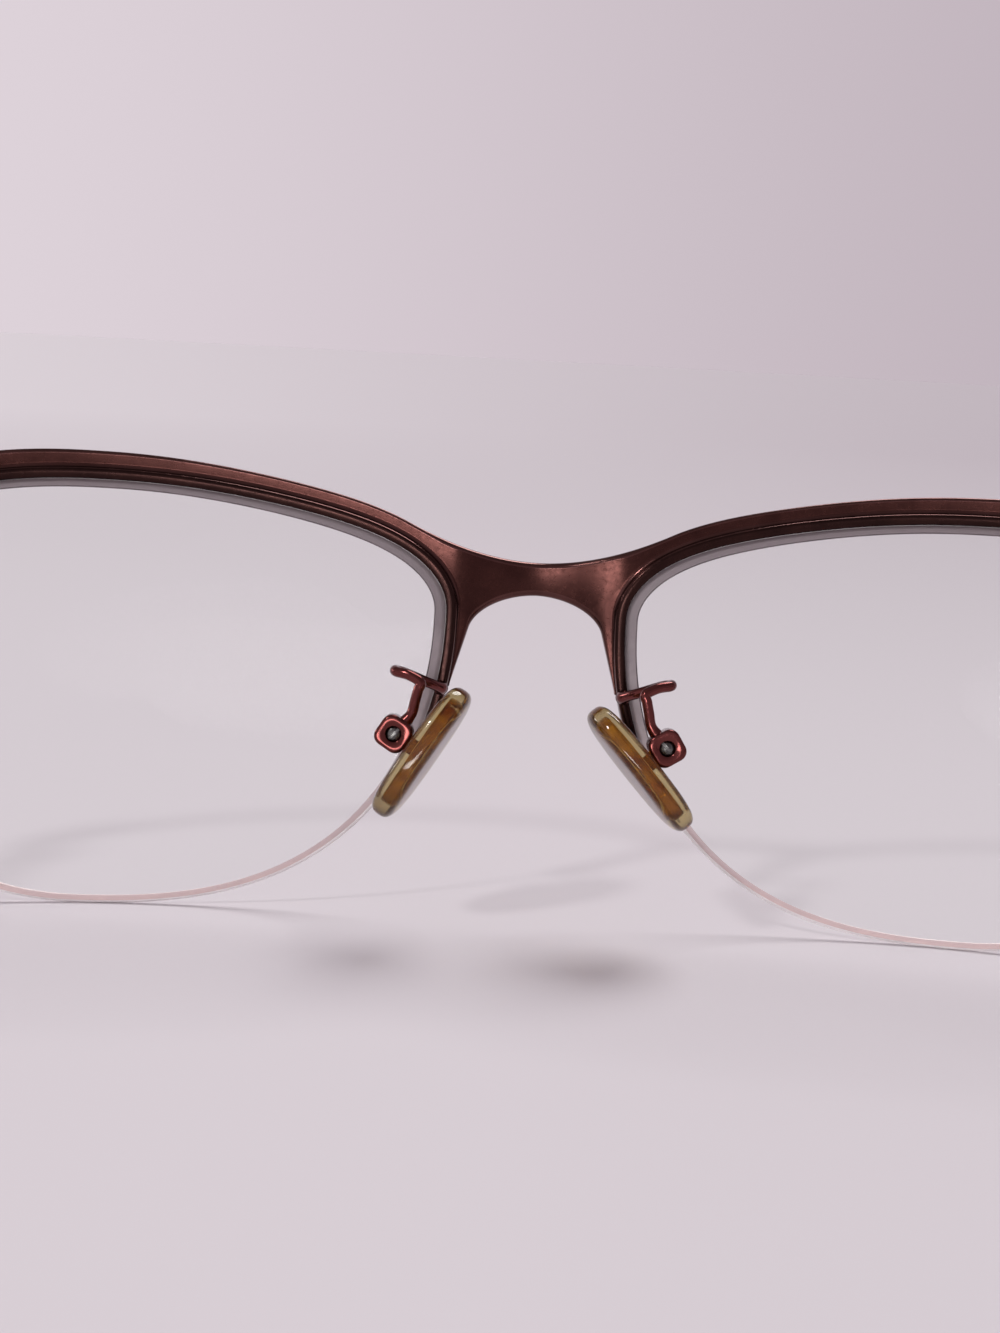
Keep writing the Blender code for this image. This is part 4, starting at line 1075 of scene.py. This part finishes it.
def tip_mesh():
    radius = TIP_HEIGHT / 2
    body = [TIP_FRONT + TIP_LIP * x * x for x in steps(0, 1, 6)]
    body += steps(TIP_FRONT + TIP_LIP, EAR_BEND_START, 12)[1:]
    body += steps(EAR_BEND_START, TEMPLE_LENGTH - radius, 36)[1:]
    body += [TEMPLE_LENGTH - radius * (1 - math.sin(math.pi / 2 * x)) for x in steps(0, 1, 12)[1:]]
    rings = [temple_ring(s, oval(*tip_size(s), count=40, power=2.5)) for s in body]
    opening = oval(*TIP_MOUTH, count=40, power=4)
    mouth = [temple_ring(TIP_FRONT + deep, opening) for deep in (TIP_MOUTH_DEPTH, 0.0)]
    return to_mesh(loft(mouth + rings), 40)


# Nose pads


def pad_frame():
    """Place and axes of the pad box as worn: x to the pad, y back along the screw, z up the pad."""
    c, s = cos_sin(BOX_TILT)
    x = leaned(-c, -s, 0)
    z = leaned(-s, c, 0)
    matrix = Matrix((x, z.cross(x), z)).transposed().to_4x4()
    matrix.translation = leaned(*PIVOT)
    return matrix


def pad_rock(side):
    """The pad box's frame turned to the pad's own tilt at rest."""
    rest = PAD_LEAN_REST if side == "right" else -PAD_LEAN_REST
    return pad_frame() @ Matrix.Rotation(PAD_TILT + rest - BOX_TILT, 4, "Y")


def splay():
    """The pad's turn about its own middle, towards the nose."""
    middle = Matrix.Translation((PAD_DISTANCE, 0, 0))
    return middle @ Matrix.Rotation(PAD_SPLAY, 4, "Z") @ middle.inverted()


def box_ring(half, corner, y, roundness, count=48):
    """A rounded square about the screw axis; roundness turns it into a circle of the same reach."""
    flat = half - corner
    ring = []
    for angle in full_turn(count):
        c, s = cos_sin(angle)
        reach = max(abs(c), abs(s))
        square = Vector((c, s)) * (half / reach)
        if abs(square.x) > flat and abs(square.y) > flat:
            hub = Vector((math.copysign(flat, square.x), math.copysign(flat, square.y)))
            square = hub + (square - hub).normalized() * corner
        spot = square.lerp(Vector((c, s)) * half, roundness)
        ring.append(Vector((spot.x, y, spot.y)))
    return ring


def box_mesh():
    """A clevis with a rounded rim round its countersunk seat."""
    half, deep = BOX_SIZE / 2, BOX_DEPTH / 2
    rings = [box_ring(half * 0.2, BOX_ROUND * 0.2, -deep, 0)]
    fronts, backs = steps(0.0, math.pi / 2, 4), steps(math.pi / 2, 0.0, 5)
    for side, turn in [(-1, turn) for turn in fronts] + [(1, turn) for turn in backs]:
        inset = BOX_EDGE * (1 - math.sin(turn))
        level = side * (deep - BOX_EDGE * (1 - math.cos(turn)))
        rings.append(box_ring(half - inset, BOX_ROUND - inset * 0.6, level, 0))
    seat = PAD_SCREW_HEAD * SCREW_SHOWN / 2 + SEAT_GAP
    rings += [
        box_ring(seat + 0.00007, 0.0004, deep - 0.00001, 0.9),
        box_ring(seat + 0.00002, 0, deep - 0.00005, 1),
        box_ring(seat, 0, deep - SEAT_DEPTH, 1),
        box_ring(PAD_SCREW_DIAMETER / 2, 0, deep - SEAT_BOTTOM, 1),
    ]
    body = to_mesh(loft(rings), 40)
    slot = TAB_THICKNESS + 2 * SLOT_GAP
    reach = half - BOX_WALL
    room = block((BOX_SIZE * 2, slot, 2 * reach), (BOX_SIZE - reach, 0, 0))
    return bake(body, cutters=[room])


def pad_screw_mesh():
    """A domed, slotted head on a plain shank, turned about Z and then laid along the screw axis."""
    head, shank = PAD_SCREW_HEAD * SCREW_SHOWN / 2, PAD_SCREW_DIAMETER / 2
    dome = [(head * 0.9 * x, HEAD_RISE - HEAD_DOME * x * x) for x in steps(0, 1, 6)]
    profile = dome + [(head, -HEAD_SIDE), (head, -HEAD_CONE), (shank, -HEAD_DEPTH)]
    profile += [(shank, -BOX_DEPTH + 0.0001), (shank - 0.0001, -BOX_DEPTH), (0.0, -BOX_DEPTH)]
    slot = block((SLOT_WIDTH, PAD_SCREW_HEAD * 1.3, 2 * SLOT_DEPTH), (0, 0, 0))
    body = bake(turned(profile, 48), cutters=[slot], bevel=0.00002, segments=2)
    seated = Matrix.Translation((0, BOX_DEPTH / 2 - HEAD_SUNK, 0))
    turn = Matrix.Rotation(-math.pi / 2, 4, "X")
    return moved(body, seated @ turn @ Matrix.Rotation(PAD_SLOT_TURN, 4, "Z"))


def pad_mesh():
    """The silicone pad, rounded all over."""
    half = PAD_THICKNESS / 2
    first, second = PAD_SIDE_POWERS
    rings = []
    for turn in steps(-math.pi / 2, math.pi / 2, 20):
        x = math.sin(turn)
        share = mix(PAD_FACE, 1.0, max(1 - abs(x) ** first, 0.0) ** (1 / second))
        ring = oval(PAD_WIDTH * share, PAD_LENGTH * share, 72, PAD_OVAL)
        rings.append([Vector((PAD_DISTANCE + half * x, y, z)) for y, z in ring])
    return moved(to_mesh(loft(rings), 60), splay())


def core_mesh():
    """The core plate inside the pad, with the tab that the screw holds."""
    half = PAD_CORE_THICKNESS / 2
    rings = []
    bevel = ((1, 0.982), (0.93, 0.994), (0.5, 1.0))
    for x, share in [(-x, share) for x, share in bevel] + list(reversed(bevel)):
        ring = oval(PAD_CORE_WIDTH * share, PAD_CORE_LENGTH * share, CORE_SIDES, CORE_OVAL)
        rings.append([Vector((PAD_DISTANCE + half * x, y, z)) for y, z in ring])
    shape = loft(rings)
    for i, face in enumerate(shape.faces):
        # the end strips take the rim finish, painted paler gold as a highlight
        face.material_index = int(i // CORE_SIDES in (0, len(rings) - 2))
    plate = moved(to_mesh(shape, 40), splay())
    end, thick = TAB_WIDTH / 2, TAB_THICKNESS / 2
    round_end = [(-end * math.sin(a), end * math.cos(a)) for a in steps(0, math.pi, 20)]
    outline = [(PAD_DISTANCE, end), *round_end, (PAD_DISTANCE, -end)]
    tab = to_mesh(loft([[Vector((x, y, z)) for x, z in outline] for y in (-thick, thick)]))
    return bake(plate, joined=[tab])


def arm_mesh():
    """The gooseneck, with the solder round its foot and a shoulder where it meets the box."""
    radius = ARM_RADIUS
    x, z = edge_offset(ARM_FOOT, LENS_GAP + RIM_HEIGHT / 2)
    foot = (x, z, depth(x, z) + RIM_HALF)
    out, rise, back = ARM_LOOP

    def between(a, b, shares):
        return leaned(*(mix(p, q, share) for p, q, share in zip(a, b, shares)))

    box = pad_frame()
    elbow = leaned(*ARM_ELBOW)
    above_box = box @ Vector((0.00025, -0.0001, BOX_SIZE / 2 + 0.0008))
    path = through([
        leaned(x, z, foot[2] - 0.0001),
        leaned(x + 0.0001, z + 0.00008, foot[2] + radius * 1.2),
        between(foot, ARM_LOOP, (0.35, 0.4, 0.55)),
        between(foot, ARM_LOOP, (0.75, 0.8, 0.66)),
        leaned(out - radius * 0.35, rise - 0.00005, back - 0.0007),
        leaned(out, rise, back),
        leaned(out - radius * 0.45, rise - 0.0001, back + 0.0007),
        between(ARM_ELBOW, ARM_LOOP, (0.45, 0.65, 0.2)),
        elbow,
        elbow.lerp(above_box, 0.25),
        elbow.lerp(above_box, 0.6),
        above_box,
        box @ Vector((0.0002, -0.0001, BOX_SIZE / 2 - 0.0002)),
    ], 12)
    radii = []
    for i in range(len(path)):
        solder = ARM_SOLDER * math.exp(-((i / 9) ** 2))
        end = ARM_END * math.exp(-(((len(path) - 1 - i) / 7) ** 2))
        radii.append(radius * (1 + solder + end))
    return tube(path, radii, sides=28)


def finish_solids():
    """Hinges, hinge screws and liners keep their solids; the metal ones get rounded edges."""
    finishes = {"front_hinge": METAL, "temple_hinge": METAL, "hinge_screw": STEEL, "liner": NYLON}
    for side, _ in SIDES:
        for node, finish in finishes.items():
            solid = frame["nodes"][f"{node}_{side}"]
            solid.data.materials.clear()
            solid.data.materials.append(finish)
            if finish is not NYLON:
                round_edges(solid, HINGE_ROUND, 2, 40)


def dress():
    plate = moved(front_mesh(), STAND)
    plate.materials.append(METAL)
    plate.materials.append(PAINTED_HIGHLIGHT_METAL)
    front = placed("brow_and_bridge", plate)
    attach(front, "front")
    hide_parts("front")
    hinge = Matrix.Translation(HINGE_PLACE)
    box = pad_frame()
    core, skin = [AMBER, AMBER_RIM_PAINTED_HIGHLIGHT], [SILICONE]
    metal, pad, temple = "frame_metal", "pad_{side}", "temple_{side}"
    add("rim", eyewire_mesh(), [PAINTED_SHADE_RIM_METAL, PAINTED_HIGHLIGHT_METAL], "eyewire_{side}", "front")
    add("clear_lens", lens_mesh(), [LENS, FROST, LENS_LINE], "lens_{side}", "front")
    add("lens_cord", cord_mesh(), [NYLON], "nylon_cord_{side}", "front")
    add("end_piece", endpiece_mesh(), [METAL], "endpiece_{side}", "front")
    add("gooseneck", arm_mesh(), [GLOSS], "pad_arm_{side}", "front")
    add("pad_clevis", box_mesh(), [GLOSS], "pad_box_{side}", "front", box)
    add("clevis_screw", pad_screw_mesh(), [STEEL], "pad_screw_{side}", "front", box)
    add("pad_insert", core_mesh(), core, "pad_core_{side}", pad, pad_rock)
    add("soft_pad", pad_mesh(), skin, "nose_pad_{side}", pad, pad_rock)
    add("temple_blade", temple_mesh(), [METAL], temple, temple, hinge)
    add("ear_tip", tip_mesh(), [ACETATE], "temple_tip_{side}", temple, hinge)
    finish_solids()


# Studio


def side_shade(tree, direction, tint=(1.0, 1.0, 1.0)):
    """The studio's plain shade towards each side, paler on the left."""
    ramp = tree.nodes.new("ShaderNodeValToRGB")
    ramp.color_ramp.interpolation = "EASE"
    for element, shade in zip(ramp.color_ramp.elements, (STUDIO_PALE, STUDIO_DEEP)):
        element.color = (*(a * b for a, b in zip(shade, tint)), 1)
    across = span(tree, component(tree, direction, "X"), -SHADE_REACH, SHADE_REACH)
    tree.links.new(across, ramp.inputs["Fac"])
    return ramp.outputs["Color"]


def floor_finish():
    """Plain and pale, and far off it takes the shade of the studio beyond it."""
    middle = [mix(a, b, 0.5) * c for a, b, c in zip(STUDIO_PALE, STUDIO_DEEP, FLOOR_TINT)]
    finish = Finish("studio_floor", middle, 0.8)
    finish.set("Specular IOR Level", 0.1)
    direction = finish.node("ShaderNodeVectorMath", operation="NORMALIZE")
    finish.link(finish.places, direction.inputs[0])
    away = finish.node("ShaderNodeVectorMath", operation="LENGTH")
    finish.link(finish.places, away.inputs[0])
    beyond = side_shade(finish.tree, direction.outputs["Vector"], FAR_TINT)
    blend = finish.node("ShaderNodeMixRGB")
    blend.inputs["Color1"].default_value = (*middle, 1)
    finish.link(beyond, blend.inputs["Color2"])
    far = span(finish.tree, away.outputs["Value"], FLOOR_NEAR, FLOOR_FAR)
    finish.link(far, blend.inputs["Fac"])
    finish.link(blend.outputs["Color"], finish.shader.inputs["Base Color"])
    finish.bump(0.0015, 3, 2e-5, 0.1)
    return finish.material


def floor():
    shape = bmesh.new()
    bmesh.ops.create_circle(shape, cap_ends=True, radius=FLOOR_RADIUS, segments=96)
    mesh = bpy.data.meshes.new("floor")
    shape.to_mesh(mesh)
    shape.free()
    mesh.materials.append(floor_finish())
    sheet = placed("floor", mesh)


def soft_light(name, place, target, size, power, spread):
    """A lamp that lights only what lies towards its target and is never seen."""
    data = bpy.data.lights.new(name, "AREA")
    data.shape = "ELLIPSE"
    data.size, data.size_y = size
    data.energy = power
    data.spread = math.radians(spread)
    lamp = placed(name, data)
    lamp.visible_camera = False
    lamp.location = place
    lamp.rotation_euler = (Vector(target) - Vector(place)).to_track_quat("-Z", "Y").to_euler()


def world():
    """Pale all round and dimmer overhead, where the sun adds the rest of the floor's light."""
    made = bpy.data.worlds.new("studio")
    made.use_nodes = True
    tree = made.node_tree
    background = tree.nodes["Background"]
    direction = tree.nodes.new("ShaderNodeTexCoord").outputs["Generated"]
    tree.links.new(side_shade(tree, direction), background.inputs["Color"])
    level = span(tree, component(tree, direction, "Z"), WALL_TOP, CEILING, 1.0, CEILING_LEVEL)
    tree.links.new(level, background.inputs["Strength"])
    bpy.context.scene.world = made


def camera():
    data = bpy.data.cameras.new("photo_camera")
    data.lens = CAMERA_LENS
    data.sensor_width = CAMERA_SENSOR
    data.clip_start = CAMERA_NEAR
    made = placed("photo_camera", data)
    turn = STAND.to_3x3()
    forward = (turn @ leaned(*CAMERA_FORWARD)).normalized()
    level = forward.cross(Vector((0, 0, 1))).normalized()
    above = level.cross(forward)
    right = level * math.cos(CAMERA_ROLL) + above * math.sin(CAMERA_ROLL)
    matrix = Matrix((right, right.cross(forward), -forward)).transposed().to_4x4()
    matrix.translation = STAND @ leaned(*CAMERA_PLACE)
    made.matrix_world = matrix
    bpy.context.scene.camera = made


def studio():
    floor()
    world()
    sun = bpy.data.lights.new("sun", "SUN")
    sun.energy = SUN_STRENGTH
    sun.angle = SUN_SPREAD
    placed("sun", sun).rotation_euler = Vector(SUN_FROM).to_track_quat("Z", "Y").to_euler()
    for lamp in LAMPS:
        soft_light(*lamp)
    camera()
    bpy.context.scene.view_settings.view_transform = "Standard"


dress()
studio()
bpy.context.view_layer.update()
